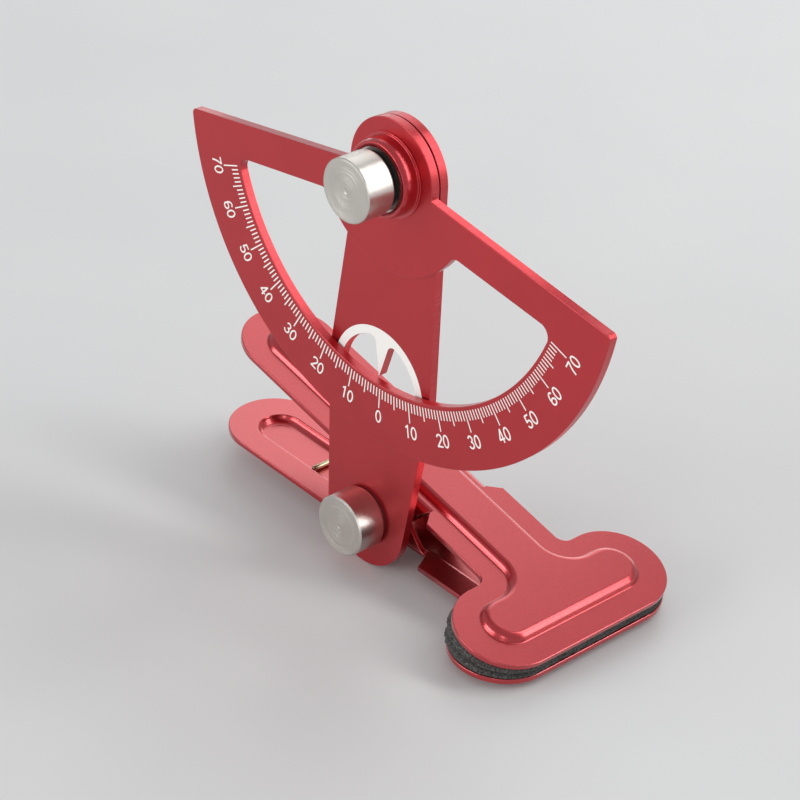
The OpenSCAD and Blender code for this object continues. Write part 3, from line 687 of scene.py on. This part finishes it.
def numerals():
    """Printed numbers round the scale, their feet outwards, each stroke a flat closed bar."""
    points, faces = [], []

    def stroke_bar(path, shift, turn, front):
        """One stroke of a digit that stands off the number's middle by shift."""
        closed = math.dist(path[0], path[-1]) < NOUGHT
        stations = len(path) - (1 if closed else 0)
        first = len(points)
        back = FRONT_Y + PRINT_T
        for a, b in list(zip(*stroke_sides(path, closed)))[:stations]:
            for p, depth in ((a, front), (b, front), (b, back), (a, back)):
                x = (p[0] + shift) * NUMERAL_H
                out = NUMERAL_R - (p[1] - 0.5) * NUMERAL_H
                across = PIVOT[0] + math.sin(turn) * out + math.cos(turn) * x
                points.append((across, depth, PIVOT[1] - math.cos(turn) * out + math.sin(turn) * x))
        for i in range(len(path) - 1):
            one = first + 4 * i
            two = first + 4 * ((i + 1) % stations)
            faces.extend((one + k, two + k, two + (k + 1) % 4, one + (k + 1) % 4) for k in range(4))
        if not closed:
            last = first + 4 * (stations - 1)
            faces.extend(tuple(range(end, end + 4)) for end in (first, last))

    for degrees in range(-LAST_DEGREE, LAST_DEGREE + 1, 10):
        text = str(abs(degrees))
        for place, digit in enumerate(text):
            shift = (place - (len(text) - 1) / 2) * DIGIT_STEP
            for layer, path in enumerate(DIGITS[digit]):
                front = FRONT_Y - PRINT_T - CROSSING_LIFT * layer
                stroke_bar(path, shift, math.radians(degrees), front)
    piece = add_piece("scale_numerals_print", points, faces)
    piece.data.polygons.foreach_set("use_smooth", np.zeros(len(faces), bool))
    return piece


finish_piece(numerals(), WHITE, "scale")


# Hub, bearing, spacers and knobs

HUB_FRONT = -3.1
RIM_R = 6.42
BARREL_R = 6.7
BARREL_Y = -2.35
BOSS_R = 6.8
FLANGE_R = 7.3
FLANGE_Y = -0.35
SPIGOT_R = 6.2
LIP_R = 4.75
LIP_Y = 1.0
SEAT_R = 5.51
MOUTH_R = 6.01
MOUTH_Y = -2.6
hub = turned_piece("scale_hub_red", [
    (MOUTH_R, HUB_FRONT, 0.07),
    (RIM_R, HUB_FRONT, 0.2),
    (BARREL_R, BARREL_Y, 5.0),
    (BOSS_R, FLANGE_Y, 0.14),
    (FLANGE_R, FLANGE_Y, 0.1),
    (FLANGE_R, 0.0, 0.02),
    (SPIGOT_R, 0.0, 0.02),
    (SPIGOT_R, SCALE_T, 0.1),
    (LIP_R, SCALE_T, 0.1),
    (LIP_R, LIP_Y, 0.02),
    (SEAT_R, LIP_Y, 0.02),
    (SEAT_R, MOUTH_Y, 0.07),
], PIVOT)
finish_piece(hub, RED_TURNED, "scale", ["scale_hub"])

KNOB_R = 5.5
KNOB_LONG = 5.5
BORE_DEEP = 4.3
DIMPLE_R = 0.5
DIMPLE_DEEP = 0.07
RING_PITCH = 0.075
RING_ROCK = (22.0, 4.0)


def knob(name, rear, centre, body, node, chamfer, seed):
    """A plain round nut: a dimple in its face, and a blind bore for the screw behind."""
    front = rear - KNOB_LONG
    corners = [
        (0.0, front + DIMPLE_DEEP, 0.0),
        (DIMPLE_R - 0.2, front + DIMPLE_DEEP - 0.01, 0.1),
        (DIMPLE_R, front, 0.1),
        (KNOB_R - chamfer, front, 0.05),
        (KNOB_R, front + chamfer, 0.05),
        (KNOB_R, rear, 0.4),
        (SCREW_R, rear, 0.08),
        (SCREW_R, rear - BORE_DEEP, 0.02),
        (0.0, rear - BORE_DEEP, 0.0),
    ]
    piece = turned_piece(name, corners, centre, 160, (RING_PITCH, *RING_ROCK, seed))
    finish_piece(piece, TURNED, body, [node])


knob("top_knob_steel", -4.1, PIVOT, "top_nut", "top_knob", 0.14, 3)
knob("bottom_knob_steel", 1.5, HINGE, "bottom_nut", "bottom_knob", 0.24, 8)

for material, names in (
    (POLISHED, ("bearing_outer_race", "bearing_inner_race", "bearing_balls")),
    (BRASS, ("bearing_cage",)),
    (RUBBER, ("bearing_front_seal", "bearing_rear_seal")),
    (ZINC, ("front_race_spacer", "rear_race_spacer", "top_pivot_screw", "bottom_knob_washer")),
    (ZINC, ("hinge_screw", "hinge_lock_nut", "hinge_sleeve", "far_washer")),
):
    for name in names:
        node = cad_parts[name]
        node.data.materials.clear()
        node.data.materials.append(material)


# Pointer post, its window with the needle, and the print round the arch

def post_outline():
    """Three discs up the post, each with a height and a radius, joined by straight sides."""
    foot_r, wide_z, wide_r, top_r = 9.5, 28.0, 12.25, 9.55
    lower_lean = math.degrees(math.asin((foot_r - wide_r) / wide_z))
    upper_lean = math.degrees(math.asin((wide_r - top_r) / (SPAN - wide_z)))
    right = arc((0, 0), foot_r, -90, lower_lean)
    right += arc((0, wide_z), wide_r, lower_lean, upper_lean, 1.5)
    right += arc((0, SPAN), top_r, upper_lean, 90)
    return with_mirror(right)


ARCH_R = 9.3
TIP_Z = SPAN - (WINDOW_R + 0.2)
ARCH_Z = TIP_Z - 1.9
FOOT_Z = TIP_Z - 3.6
BAND_R = 10.9
BAND_LOW = 4.6
POST_EDGE = 0.09
BAND_EDGE = 0.002
BAND_GAP = 0.05
NEEDLE_HALF = 14.0
NEEDLE_TIP_R = 0.14


def pointer_window():
    """The D-shaped window as one loop that runs up and down the needle."""
    h = math.radians(NEEDLE_HALF)
    side_n = np.array([math.cos(h), -math.sin(h)])
    side_t = np.array([math.sin(h), math.cos(h)])
    root_r, foot_r = 1.3, 1.2
    off = root_r - (ARCH_Z - TIP_Z) * side_n[1]
    root = off * side_n + math.sqrt((ARCH_R - root_r) ** 2 - off ** 2) * side_t
    root_a = math.degrees(math.atan2(root[1], root[0]))
    foot_v = FOOT_Z - ARCH_Z + foot_r
    foot = (math.sqrt((ARCH_R - foot_r) ** 2 - foot_v ** 2), foot_v)
    foot_a = math.degrees(math.atan2(foot[1], foot[0]))
    tip = (0.0, TIP_Z - ARCH_Z + NEEDLE_TIP_R / math.sin(h) * 0.55)
    right = arc(foot, foot_r, -90, foot_a, 8.0)
    right += arc((0, 0), ARCH_R, foot_a, root_a, 3.0)
    right += arc(root, root_r, root_a, 180 - NEEDLE_HALF, 12.0)
    right += arc(tip, NEEDLE_TIP_R, -NEEDLE_HALF, -90, 20.0)
    return [(x, z + ARCH_Z) for x, z in with_mirror(right)]


screw_hole = arc((0, 0), SCREW_R, 0, 356, 4.0)
top_hole = [(x, z + SPAN) for x, z in screw_hole]
post_loops = [post_outline(), pointer_window(), screw_hole, top_hole]
post = flat_plate("pointer_post_red", post_loops, POST_FRONT, POST_T, POST_EDGE, HINGE, LEAN)
finish_piece(post, RED_PLATE, "post", ["pointer_post"])


def arch_print():
    """The white band round the arch, down the needle to its tip."""
    loop, step = inward(tidy_loop(pointer_window()), False)[:2]
    inner = [(x, z) for x, z in loop + step * BAND_GAP if z > ARCH_Z - BAND_LOW]
    turn = max(range(len(inner)), key=lambda i: math.dist(inner[i], inner[i - 1]))
    inner = inner[turn:] + inner[:turn]
    if inner[0][0] < inner[-1][0]:
        inner.reverse()
    low = math.degrees(math.asin(-BAND_LOW / BAND_R))
    return arc((0, ARCH_Z), BAND_R, 180 - low, low, 2.0) + inner


band_front = POST_FRONT - PRINT_T
band = flat_plate("arch_band_print", [arch_print()], band_front, PRINT_T, BAND_EDGE, HINGE, LEAN, 1)
finish_piece(band, WHITE, "post")


# Clip jaws: each is one pressed sheet, bent down into ears at the hinge

PANEL_H = 1.3
WALL = math.radians(68.0)
PANEL_RUN = PANEL_H / math.tan(WALL)
FOOT_ROUND = 0.25
CREST_ROUND = 1.5
RECESS = SHEET * (math.hypot(PANEL_H, PANEL_RUN) - PANEL_RUN) / PANEL_H
PANEL_BAR = 4.7
PANEL_HEAD = 4.55
PANEL_HEAD_AT = 35.7
PANEL_FILLET = 5.5
PANEL_TAIL = 34.95
PANEL_HEAD_Y = 12.2
FILLET_AT = (PANEL_HEAD_AT - PANEL_HEAD - PANEL_FILLET, PANEL_BAR + PANEL_FILLET)
MID_Z = PLATE_IN + SHEET / 2
BEND_R = BEND + SHEET / 2
QUARTER = BEND_R * math.pi / 2
SHEET_EDGE = 0.16


def panel_depth(u, s):
    """How far a point of the sheet lies inside the panel's middle line."""
    s = np.abs(s)
    back = np.maximum(-PANEL_TAIL - u, 0)
    bar = PANEL_BAR - np.hypot(back, s)
    head = PANEL_HEAD - np.hypot(u - PANEL_HEAD_AT, np.maximum(s - PANEL_HEAD_Y, 0))
    inside = np.maximum(np.where(u <= PANEL_HEAD_AT, bar, -99), head)
    corner = (u > FILLET_AT[0]) & (s < FILLET_AT[1]) & (u < PANEL_HEAD_AT)
    fillet = np.hypot(u - FILLET_AT[0], s - FILLET_AT[1]) - PANEL_FILLET
    return np.where(corner, np.maximum(fillet, inside), inside)


def panel_rise(depth):
    """Height of the panel and its slope at a depth: flat, tight foot, steep wall, soft crest, flat."""
    d = np.asarray(depth, float)
    foot = d + PANEL_RUN / 2 + FOOT_ROUND * math.tan(WALL / 2)
    crest = PANEL_RUN / 2 + CREST_ROUND * math.tan(WALL / 2) - d
    f = np.clip(foot, 0, FOOT_ROUND * math.sin(WALL))
    c = np.clip(crest, 0, CREST_ROUND * math.sin(WALL))
    in_foot = foot < FOOT_ROUND * math.sin(WALL)
    in_crest = crest < CREST_ROUND * math.sin(WALL)
    low = np.sqrt(FOOT_ROUND ** 2 - f * f)
    high = np.sqrt(CREST_ROUND ** 2 - c * c)
    on_wall = (d + PANEL_RUN / 2) * math.tan(WALL)
    rise = np.where(in_foot, FOOT_ROUND - low, np.where(in_crest, PANEL_H - CREST_ROUND + high, on_wall))
    slope = np.where(in_foot, f / low, np.where(in_crest, c / high, math.tan(WALL)))
    return rise, slope


def contour(depth, step=4.0):
    """The closed line on the sheet at one depth inside the panel's middle line."""
    bar, head, fillet = PANEL_BAR - depth, PANEL_HEAD - depth, PANEL_FILLET + depth
    side = [(PANEL_HEAD_AT + head, y) for y in np.linspace(0, PANEL_HEAD_Y, 5)]
    side += arc((PANEL_HEAD_AT, PANEL_HEAD_Y), head, 0, 180, step)
    side += arc(FILLET_AT, fillet, 0, -90, step)
    side += [(x, bar) for x in np.linspace(FILLET_AT[0], -PANEL_TAIL, 16)]
    side += arc((-PANEL_TAIL, 0), bar, 90, 180, step)
    return both_sides(side)


# The ears, and the slit that frees each of them from the neck
UPPER_EAR = 7.2
LOWER_EAR = 5.95
EAR_TIP_R = 4.4
EAR_HOLLOW_R = 6.0
NECK_FILLET = 2.0
BEND_ROWS = 8
BEND_POINTS = 15
CUT_AT = EAR_BASE - 0.25
CUT_R = 0.02
CUT_IN = 0.25
CUT_EDGE_SHARE = 0.1
ROW_INSET = 0.3


def ear_side(a):
    """Half the ear's length at a bend angle: it narrows towards the pin."""
    top = CUT_AT - CUT_R
    low = EAR_BASE - SHEET - BEND
    return top - (top - low) * (1 - math.cos(a))


def jaw_loops(ear_half):
    """The sheet's outline and pin holes, laid out flat: along the clip and across it."""
    start = ear_half - SHEET - BEND
    straight = MID_Z - BEND_R
    out = (EAR_BASE - PLATE_IN - SHEET) / math.sqrt(2) + EAR_HOLLOW_R
    up = math.sqrt((EAR_TIP_R + EAR_HOLLOW_R) ** 2 - out ** 2)
    c = np.array([out + up, up - out]) / math.sqrt(2)
    on_line = c - EAR_HOLLOW_R * np.array([1, -1]) / math.sqrt(2)
    hollow_end = math.degrees(math.atan2(-c[1], -c[0]))
    hollow_start = math.degrees(math.atan2(on_line[1] - c[1], on_line[0] - c[0]))
    tip_a = math.degrees(math.atan2(c[1], c[0]))
    bends = [math.pi / 2 * k / BEND_ROWS for k in range(BEND_ROWS + 1)]
    ear = [(ear_side(a), start + BEND_R * a) for a in bends]
    hole_s = start + QUARTER + straight
    lower = [(EAR_BASE - PLATE_IN - SHEET + z, z) for z in np.linspace(straight, on_line[1], 9)][1:]
    lower += arc(tuple(c), EAR_HOLLOW_R, hollow_start, hollow_end, 3.0)
    lower += arc((0, 0), EAR_TIP_R, tip_a, -90, 4.0)
    ear += [(u, hole_s - z) for u, z in lower]
    slant = (NECK - ear_half + CUT_IN) / SHOULDER
    tip = ear_half - CUT_IN - slant * (EAR_BASE - CUT_AT - CUT_R)
    cut = [(CUT_AT + CUT_R, s) for s in np.linspace(tip, start, 5)]
    cut += arc((CUT_AT, start), CUT_R, 0, -180, 45.0)
    side = [(HEAD_AT + HEAD_R, y) for y in np.linspace(0, HEAD_Y, 5)]
    side += arc((HEAD_AT, HEAD_Y), HEAD_R, 0, 180, 3.0)
    side += arc((HEAD_AT - HEAD_R - NECK_FILLET, NECK + NECK_FILLET), NECK_FILLET, 0, -90, 6.0)
    side += [(EAR_BASE + SHOULDER, NECK)] + cut + ear
    side += [(-u, s) for u, s in reversed(cut + ear)] + [(-EAR_BASE - SHOULDER, NECK)]
    side += arc((NECK - HANDLE_END, 0), NECK, 90, 180, 3.0)
    holes = [arc((0, sign * hole_s), SCREW_R, 0, 355, 5.0) for sign in (1, -1)]
    return [both_sides(side)] + holes


def inside_loop(points, loop):
    """Which points lie inside a closed loop."""
    x, y = points[:, 0][:, None], points[:, 1][:, None]
    x1, y1 = loop[:, 0][None, :], loop[:, 1][None, :]
    x2, y2 = np.roll(loop[:, 0], -1)[None, :], np.roll(loop[:, 1], -1)[None, :]
    crosses = (y1 > y) != (y2 > y)
    rise = np.where(np.abs(y2 - y1) < 1e-12, 1e-12, y2 - y1)
    left = x < (x2 - x1) * (y - y1) / rise + x1
    return np.sum(crosses & left, axis=1) % 2 == 1


def sheet_jaw(name, ear_half, pitch, flip, steps=3):
    """One jaw as a sheet of even thickness with rounded edges."""
    start = ear_half - SHEET - BEND
    along = np.array([1.0, 0, 0])

    def on_sheet(flat, height):
        """Points and the sheet's own directions at flat positions, off its middle by height."""
        u, s = flat[:, 0], flat[:, 1]
        side = np.where(s < 0, -1.0, 1.0)
        run = np.where(np.abs(u) < CUT_AT, np.maximum(np.abs(s) - start, 0), 0)
        a = np.minimum(run / BEND_R, math.pi / 2)
        down = np.maximum(run - QUARTER, 0)
        flat_y = np.where(run > 0, start, np.abs(s))
        y = side * (flat_y + BEND_R * np.sin(a))
        z = MID_Z - BEND_R * (1 - np.cos(a)) - down
        normal = np.stack([np.zeros(len(u)), side * np.sin(a), np.cos(a)], axis=1)
        across = np.stack([np.zeros(len(u)), np.cos(a), -side * np.sin(a)], axis=1)
        return np.stack([u, y, z], axis=1) + normal * height[:, None], normal, across

    loops = []
    for index, raw in enumerate(jaw_loops(ear_half)):
        loop, step, outward = inward(tidy_loop(raw), index == 0)
        beside_cut = (np.abs(np.abs(loop[:, 0]) - CUT_AT) < 0.05) & (np.abs(loop[:, 1]) < ear_half - 0.3)
        loops.append((loop, step * np.where(beside_cut, CUT_EDGE_SHARE, 1.0)[:, None], outward))
    chains = [loop + step * SHEET_EDGE for loop, step, outward in loops]
    rows = []
    for k in range(BEND_ROWS + 1):
        reach = start + QUARTER * k / BEND_ROWS
        wide = ear_side(math.pi / 2 * k / BEND_ROWS) - SHEET_EDGE - ROW_INSET
        for sign in (1, -1):
            rows.append(np.array([(x, sign * reach) for x in np.linspace(-wide, wide, BEND_POINTS)]))
    points, normals, edge_wear_and_highlight, faces = [], [], [], []
    total = 0
    for face in (1, -1):
        shift = 0.0 if face > 0 else RECESS
        closed = chains + [np.array(contour(d + shift)) for d in panel_lines()]
        flat = np.concatenate(closed + rows)
        edges, first = [], 0
        for line in closed:
            edges += [(first + i, first + (i + 1) % len(line)) for i in range(len(line))]
            first += len(line)
        for row in rows:
            edges += [(first + i, first + i + 1) for i in range(len(row) - 1)]
            first += len(row)
        result = geometry.delaunay_2d_cdt([Vector(p) for p in flat], edges, [], 0, 1e-5)
        flat = np.array([tuple(v) for v in result[0]])
        tris = np.array(result[2])
        middle = flat[tris].mean(axis=1)
        keep = inside_loop(middle, chains[0])
        for chain in chains[1:]:
            keep &= ~inside_loop(middle, chain)
        rise, slope = panel_rise(panel_depth(flat[:, 0], flat[:, 1]) - shift)
        place, normal, across = on_sheet(flat, face * SHEET / 2 + rise)
        tilt = normal - slope[:, None] * (depth_change(flat, 0) * along + depth_change(flat, 1) * across)
        points.append(place)
        normals.append(face * tilt)
        edge_wear_and_highlight.append(np.zeros(len(place)))
        faces += [tuple(int(i) + total for i in (t if face > 0 else t[::-1])) for t in tris[keep]]
        total += len(place)
    for loop, step, outward in loops:
        rings = []
        for face in (1, -1):
            shift = 0.0 if face > 0 else RECESS
            for k in range(steps + 1):
                a = math.radians(90.0 * (k if face > 0 else steps - k) / steps)
                flat = loop + step * SHEET_EDGE * (1 - math.sin(a))
                rise = panel_rise(panel_depth(flat[:, 0], flat[:, 1]) - shift)[0]
                height = face * (SHEET / 2 - SHEET_EDGE * (1 - math.cos(a))) + rise
                place, normal, across = on_sheet(flat, height)
                out = -(outward[:, 0][:, None] * along + outward[:, 1][:, None] * across)
                rings.append(total)
                points.append(place)
                normals.append(out * math.sin(a) + face * normal * math.cos(a))
                # Pale-edge mark on both roundings of the sheet's edge: partly thinned dye, partly a painted
                # highlight.
                edge_wear_and_highlight.append(np.full(len(place), math.sin(2 * a) if 0 < a < SQUARE else 0.0))
                total += len(place)
        for one, two in zip(rings, rings[1:]):
            faces += ring_faces(one, two, len(loop))
    points = set_on_clip(np.concatenate(points), pitch, flip)
    normals = set_on_clip(np.concatenate(normals), pitch, flip, False)
    piece = add_piece(name, points, faces, normals, {"edge_wear_and_highlight": np.concatenate(edge_wear_and_highlight)})
    return welded(piece, normals, points)


def depth_change(flat, way, small=1e-3):
    """How fast the panel's depth grows along the sheet (0) or across it (1)."""
    step = np.zeros(2)
    step[way] = small
    ahead, behind = flat + step, flat - step
    change = panel_depth(ahead[:, 0], ahead[:, 1]) - panel_depth(behind[:, 0], behind[:, 1])
    return change[:, None] / (2 * small)


def panel_lines():
    """The depths at which the panel's roundings need a line of points."""
    lines = []
    for own, way, count in ((FOOT_ROUND, -1, 5), (CREST_ROUND, 1, 11)):
        end = PANEL_RUN / 2 + own * math.tan(WALL / 2)
        lines += [way * (end - own * math.sin(WALL * k / count)) for k in range(count + 1)]
    return sorted(lines)


def set_on_clip(points, pitch, flip, moved=True):
    """From a jaw's own frame to the gauge's, in millimetres."""
    p = np.array(points, float)
    if flip:
        p[:, 2] *= -1
    c, s = math.cos(math.radians(pitch)), math.sin(math.radians(pitch))
    x = p[:, 0] * c + p[:, 2] * s
    z = -p[:, 0] * s + p[:, 2] * c
    out = np.stack([x, p[:, 1], z], axis=1)
    if moved:
        out += np.array(CLIP_CENTRE)
    return out


def welded(piece, normals, points):
    """Joins the doubled points along a sheet's edges and sets the normals again."""
    mesh = piece.data
    mesh.normals_split_custom_set([(0.0, 0.0, 0.0)] * len(mesh.loops))
    work = bmesh.new()
    work.from_mesh(mesh)
    bmesh.ops.remove_doubles(work, verts=work.verts, dist=2e-7)
    bmesh.ops.recalc_face_normals(work, faces=work.faces)
    work.to_mesh(mesh)
    work.free()
    where = {tuple(np.round(p, 4)): n for p, n in zip(points, normals)}
    keys = np.array(list(where))
    values = list(where.values())
    near = []
    for v in mesh.vertices:
        key = tuple(np.round(np.array(v.co) / MM, 4))
        found = where.get(key)
        if found is None:
            found = values[int(np.argmin(np.sum((keys - np.array(key)) ** 2, axis=1)))]
        near.append(found)
    mesh.normals_split_custom_set_from_vertices(unit(np.array(near)).tolist())
    return piece


upper = sheet_jaw("upper_jaw_red", UPPER_EAR, UPPER_PITCH, False)
finish_piece(upper, RED_SHEET, "clip_lever", ["upper_jaw"])
lower = sheet_jaw("lower_jaw_red", LOWER_EAR, LOWER_PITCH, True)
finish_piece(lower, RED_SHEET, "clip_base", ["lower_jaw"])


# Torsion spring: one wire from the lower cross bar through the coil to the upper one

COIL_R = 4.2
COIL_HALF = 3.3
COIL_TURNS = 4
COIL_POINTS = 170
WIRE_R = 0.5
WIRE_BEND = 1.2
BAR_AT = 22.3
BAR_END = 6.4
BAR_Z = PLATE_IN + PANEL_H - WIRE_R - 0.1


def spring_path():
    """Lower cross bar and leg, coil, upper leg and cross bar, about the hinge."""
    reach = math.hypot(BAR_AT, BAR_Z)
    lead = math.degrees(math.acos(COIL_R / reach))
    upper_a = math.degrees(math.atan2(BAR_Z, -BAR_AT)) - UPPER_PITCH
    lower_a = math.degrees(math.atan2(-BAR_Z, -BAR_AT)) - LOWER_PITCH
    end = upper_a - lead + 360 * COIL_TURNS
    start = lower_a + lead

    def around(radius, degrees, y):
        a = math.radians(degrees)
        return np.array([radius * math.cos(a), y, radius * math.sin(a)])

    def leg(off_coil, at_bar, y, side):
        """From the coil straight out to the corner, round it, and along the cross bar."""
        first, corner = around(COIL_R, off_coil, y), around(reach, at_bar, y)
        d = (corner - first) / np.linalg.norm(corner - first)
        across = np.array([0.0, side, 0.0])
        centre = corner - WIRE_BEND * d + WIRE_BEND * across
        quarter = np.linspace(0, math.pi / 2, 7)
        pts = [first + (corner - first) * t for t in np.linspace(0.04, 0.9, 8)]
        pts += [centre + WIRE_BEND * (math.sin(t) * d - math.cos(t) * across) for t in quarter]
        pts += [corner + across * t for t in np.linspace(2.0, BAR_END, 4)]
        return pts

    shares = [i / COIL_POINTS for i in range(COIL_POINTS + 1)]
    coil = [around(COIL_R, start + f * (end - start), COIL_HALF * (1 - 2 * f)) for f in shares]
    return leg(start, lower_a, COIL_HALF, -1)[::-1] + coil + leg(end, upper_a, -COIL_HALF, 1)


def wire_piece(name, path, radius, around=14):
    """A round wire along a path, with rounded ends."""
    path = np.array(path)
    ahead = unit(np.gradient(path, axis=0))
    plan = [(p, d, radius) for p, d in zip(path, ahead)]
    for degrees in (30, 55, 80):
        out, r = radius * math.sin(math.radians(degrees)), radius * math.cos(math.radians(degrees))
        plan.insert(0, (path[0] - ahead[0] * out, ahead[0], r))
        plan.append((path[-1] + ahead[-1] * out, ahead[-1], r))
    side = np.cross(ahead[0], [0, 0, 1.0])
    rings, points, faces = [], [], []
    for p, d, r in plan:
        side = side - d * (side @ d)
        side /= np.linalg.norm(side)
        up = np.cross(d, side)
        rings.append(len(points))
        for k in range(around):
            t = 2 * math.pi * k / around
            points.append(p + (math.cos(t) * side + math.sin(t) * up) * r)
    for one, two in zip(rings, rings[1:]):
        faces += ring_faces(one, two, around)
    faces += [tuple(range(rim, rim + around)) for rim in (rings[0], rings[-1])]
    return add_piece(name, np.array(points) + np.array(CLIP_CENTRE), faces)


spring = wire_piece("torsion_spring_wire", spring_path(), WIRE_R)
spring.data.materials.append(WIRE)
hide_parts("torsion_spring")
hinge_at = [value * MM for value in CLIP_CENTRE]
hinge_at[2] - 3.4 * MM
hinge_at[2] + 3.4 * MM
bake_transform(spring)


# Foam pads: cut foam, swollen a little past its plate at the near end

PAD_R = 9.0
PAD_LAYERS = 13
PAD_GAP = 0.06
PAD_BACK = PLATE_IN - 0.05
TUCK = 0.4
WAVE = 0.045
PIT = 0.075
BULGE = 0.1
NEAR_BULGE = 0.4
NEAR_FROM = 8.0
NEAR_OVER = 10.0
TEAR_WAVES = (3, 5, 9, 17, 31, 47)


def foam_pad(name, pitch, flip, seed):
    """One pad between a jaw's head and the middle of the gap, its cut side torn and pitted."""
    rng = np.random.default_rng(seed)
    side = [(HEAD_AT + PAD_R, y) for y in np.linspace(-HEAD_Y, HEAD_Y, 90)][:-1]
    side += arc((HEAD_AT, HEAD_Y), PAD_R, 0, 180, 1.2)
    side += [(HEAD_AT - PAD_R, y) for y in np.linspace(HEAD_Y, -HEAD_Y, 60)][1:-1]
    side += arc((HEAD_AT, -HEAD_Y), PAD_R, 180, 360, 1.2)[:-1]
    loop, step = inward(tidy_loop(side), True)[:2]
    count = len(loop)
    waves = np.zeros(count)
    angle = np.linspace(0, 2 * math.pi, count, endpoint=False)
    for k in TEAR_WAVES:
        waves += rng.normal() * np.sin(k * angle + rng.uniform(0, 6.28)) / math.sqrt(k)
    pits = rng.normal(0, 1.0, (PAD_LAYERS, count))
    pits = (pits + np.roll(pits, 1, axis=1) + np.roll(pits, -1, axis=1)) / 1.7
    near = np.clip((-loop[:, 1] - NEAR_FROM) / NEAR_OVER, 0, 1)
    slope = math.tan(math.radians((UPPER_PITCH - LOWER_PITCH) / 2))
    layers, faces = [], []
    for k in range(PAD_LAYERS):
        f = k / (PAD_LAYERS - 1)
        swell = math.sin(math.pi * f) ** 0.6
        inset = TUCK * (1 - swell) + WAVE * waves - (BULGE + NEAR_BULGE * near) * swell
        flat = loop + step * (inset + PIT * pits[k] * swell)[:, None]
        low = np.maximum(flat[:, 0], 0) * slope + PAD_GAP
        layers.append(np.stack([flat[:, 0], flat[:, 1], PAD_BACK * (1 - f) + low * f], axis=1))
    for k in range(PAD_LAYERS - 1):
        faces += ring_faces(k * count, (k + 1) * count, count)
    for k in (0, PAD_LAYERS - 1):
        faces += [tuple(k * count + i for i in t) for t in fill_loops([layers[k][:, :2]])]
    return add_piece(name, set_on_clip(np.concatenate(layers), pitch, flip), faces)


for name, pitch, flip, body, node, seed in (
    ("upper_foam", UPPER_PITCH, False, "clip_lever", "upper_foam_pad", 4),
    ("lower_foam", LOWER_PITCH, True, "clip_base", "lower_foam_pad", 9),
):
    pad = foam_pad(name, pitch, flip, seed)
    finish_piece(pad, FOAM, body, [node])


# Studio: pale floor, soft lamps, and the camera where the photograph was taken

FLOOR_HALF = 6.0
FLOOR_Z = -0.0001
AIM_Z = 0.03


def studio():
    """The floor, the air, and the lamps: each has its place, size, long way and power."""
    f = Finish("pale_floor")
    grain = f.noise(0.02)
    colour = f.blend_colours(grain, srgb(214, 214, 214), srgb(222, 222, 221))
    material = f.surface(colour, 0.55)
    mesh = bpy.data.meshes.new("studio_floor")
    ends = (-FLOOR_HALF, FLOOR_HALF)
    corners = [(x, y, FLOOR_Z) for y in ends for x in ends]
    mesh.from_pydata(corners, [], [(0, 1, 3, 2)])
    floor = bpy.data.objects.new("studio_floor", mesh)
    mesh.materials.append(material)
    scene.collection.objects.link(floor)
    world = bpy.data.worlds.new("studio_air")
    scene.world = world
    world.use_nodes = True
    back = world.node_tree.nodes["Background"]
    back.inputs["Color"].default_value = (0.86, 0.88, 0.9, 1)
    back.inputs["Strength"].default_value = 0.55
    lamps = {
        "strip_low": ((0.93, 0.66, 0.5), (0.76, 0.34), (0.5, 0.0, -0.87), 3.7),
        "strip_high": ((0.42, 0.68, 0.96), (0.76, 0.3), (0.92, 0.0, -0.38), 2.9),
        "lamp_over": ((-0.62, 0.82, 0.76), (0.8, 0.7), (1.0, 0.0, 0.0), 1.95),
        "lamp_front": ((-0.42, -1.1, 0.36), (1.0, 0.5), (1.0, 0.0, 0.0), 7.0),
        "lamp_side": ((0.66, -0.88, 0.24), (0.5, 0.22), (0.0, 0.0, 1.0), 1.0),
        "lamp_back": ((-0.42, 0.87, 0.25), (0.6, 0.2), (1.0, 0.0, 0.0), 0.85),
        "lamp_left": ((-0.84, 0.62, 0.2), (0.5, 0.14), (0.6, 0.8, 0.0), 0.4),
    }
    for name, (spot, size, long_way, power) in lamps.items():
        data = bpy.data.lights.new(name, "AREA")
        data.shape = "RECTANGLE"
        data.size, data.size_y = size
        data.energy = power
        away = (Vector(spot) - Vector((0.0, 0.0, AIM_Z))).normalized()
        along = Vector(long_way)
        along = (along - away * along.dot(away)).normalized()
        stand(name, data, along, away.cross(along), away, spot)


def stand(name, data, right, up, back, spot):
    """Puts a lamp or the camera at a spot, with its right, up and back directions."""
    made = bpy.data.objects.new(name, data)
    rows = [[right[i], up[i], back[i], spot[i]] for i in range(3)]
    made.matrix_world = Matrix(rows + [[0, 0, 0, 1]])
    scene.collection.objects.link(made)
    return made


def camera():
    """The eye stands where the photograph was taken, as fitted to it."""
    data = bpy.data.cameras.new("camera")
    data.sensor_width = 36.0
    data.lens = 137.736
    data.clip_start = 0.02
    data.clip_end = 30
    right = (0.67735056, 0.73411587, 0.04764565)
    up = (-0.40841877, 0.32138922, 0.85434365)
    back = (0.61187443, -0.59814953, 0.51751987)
    spot = (0.31461982, -0.31574814, 0.29950891)
    scene.camera = stand("camera", data, right, up, back, spot)


studio()
camera()
scene.view_settings.view_transform = "Standard"
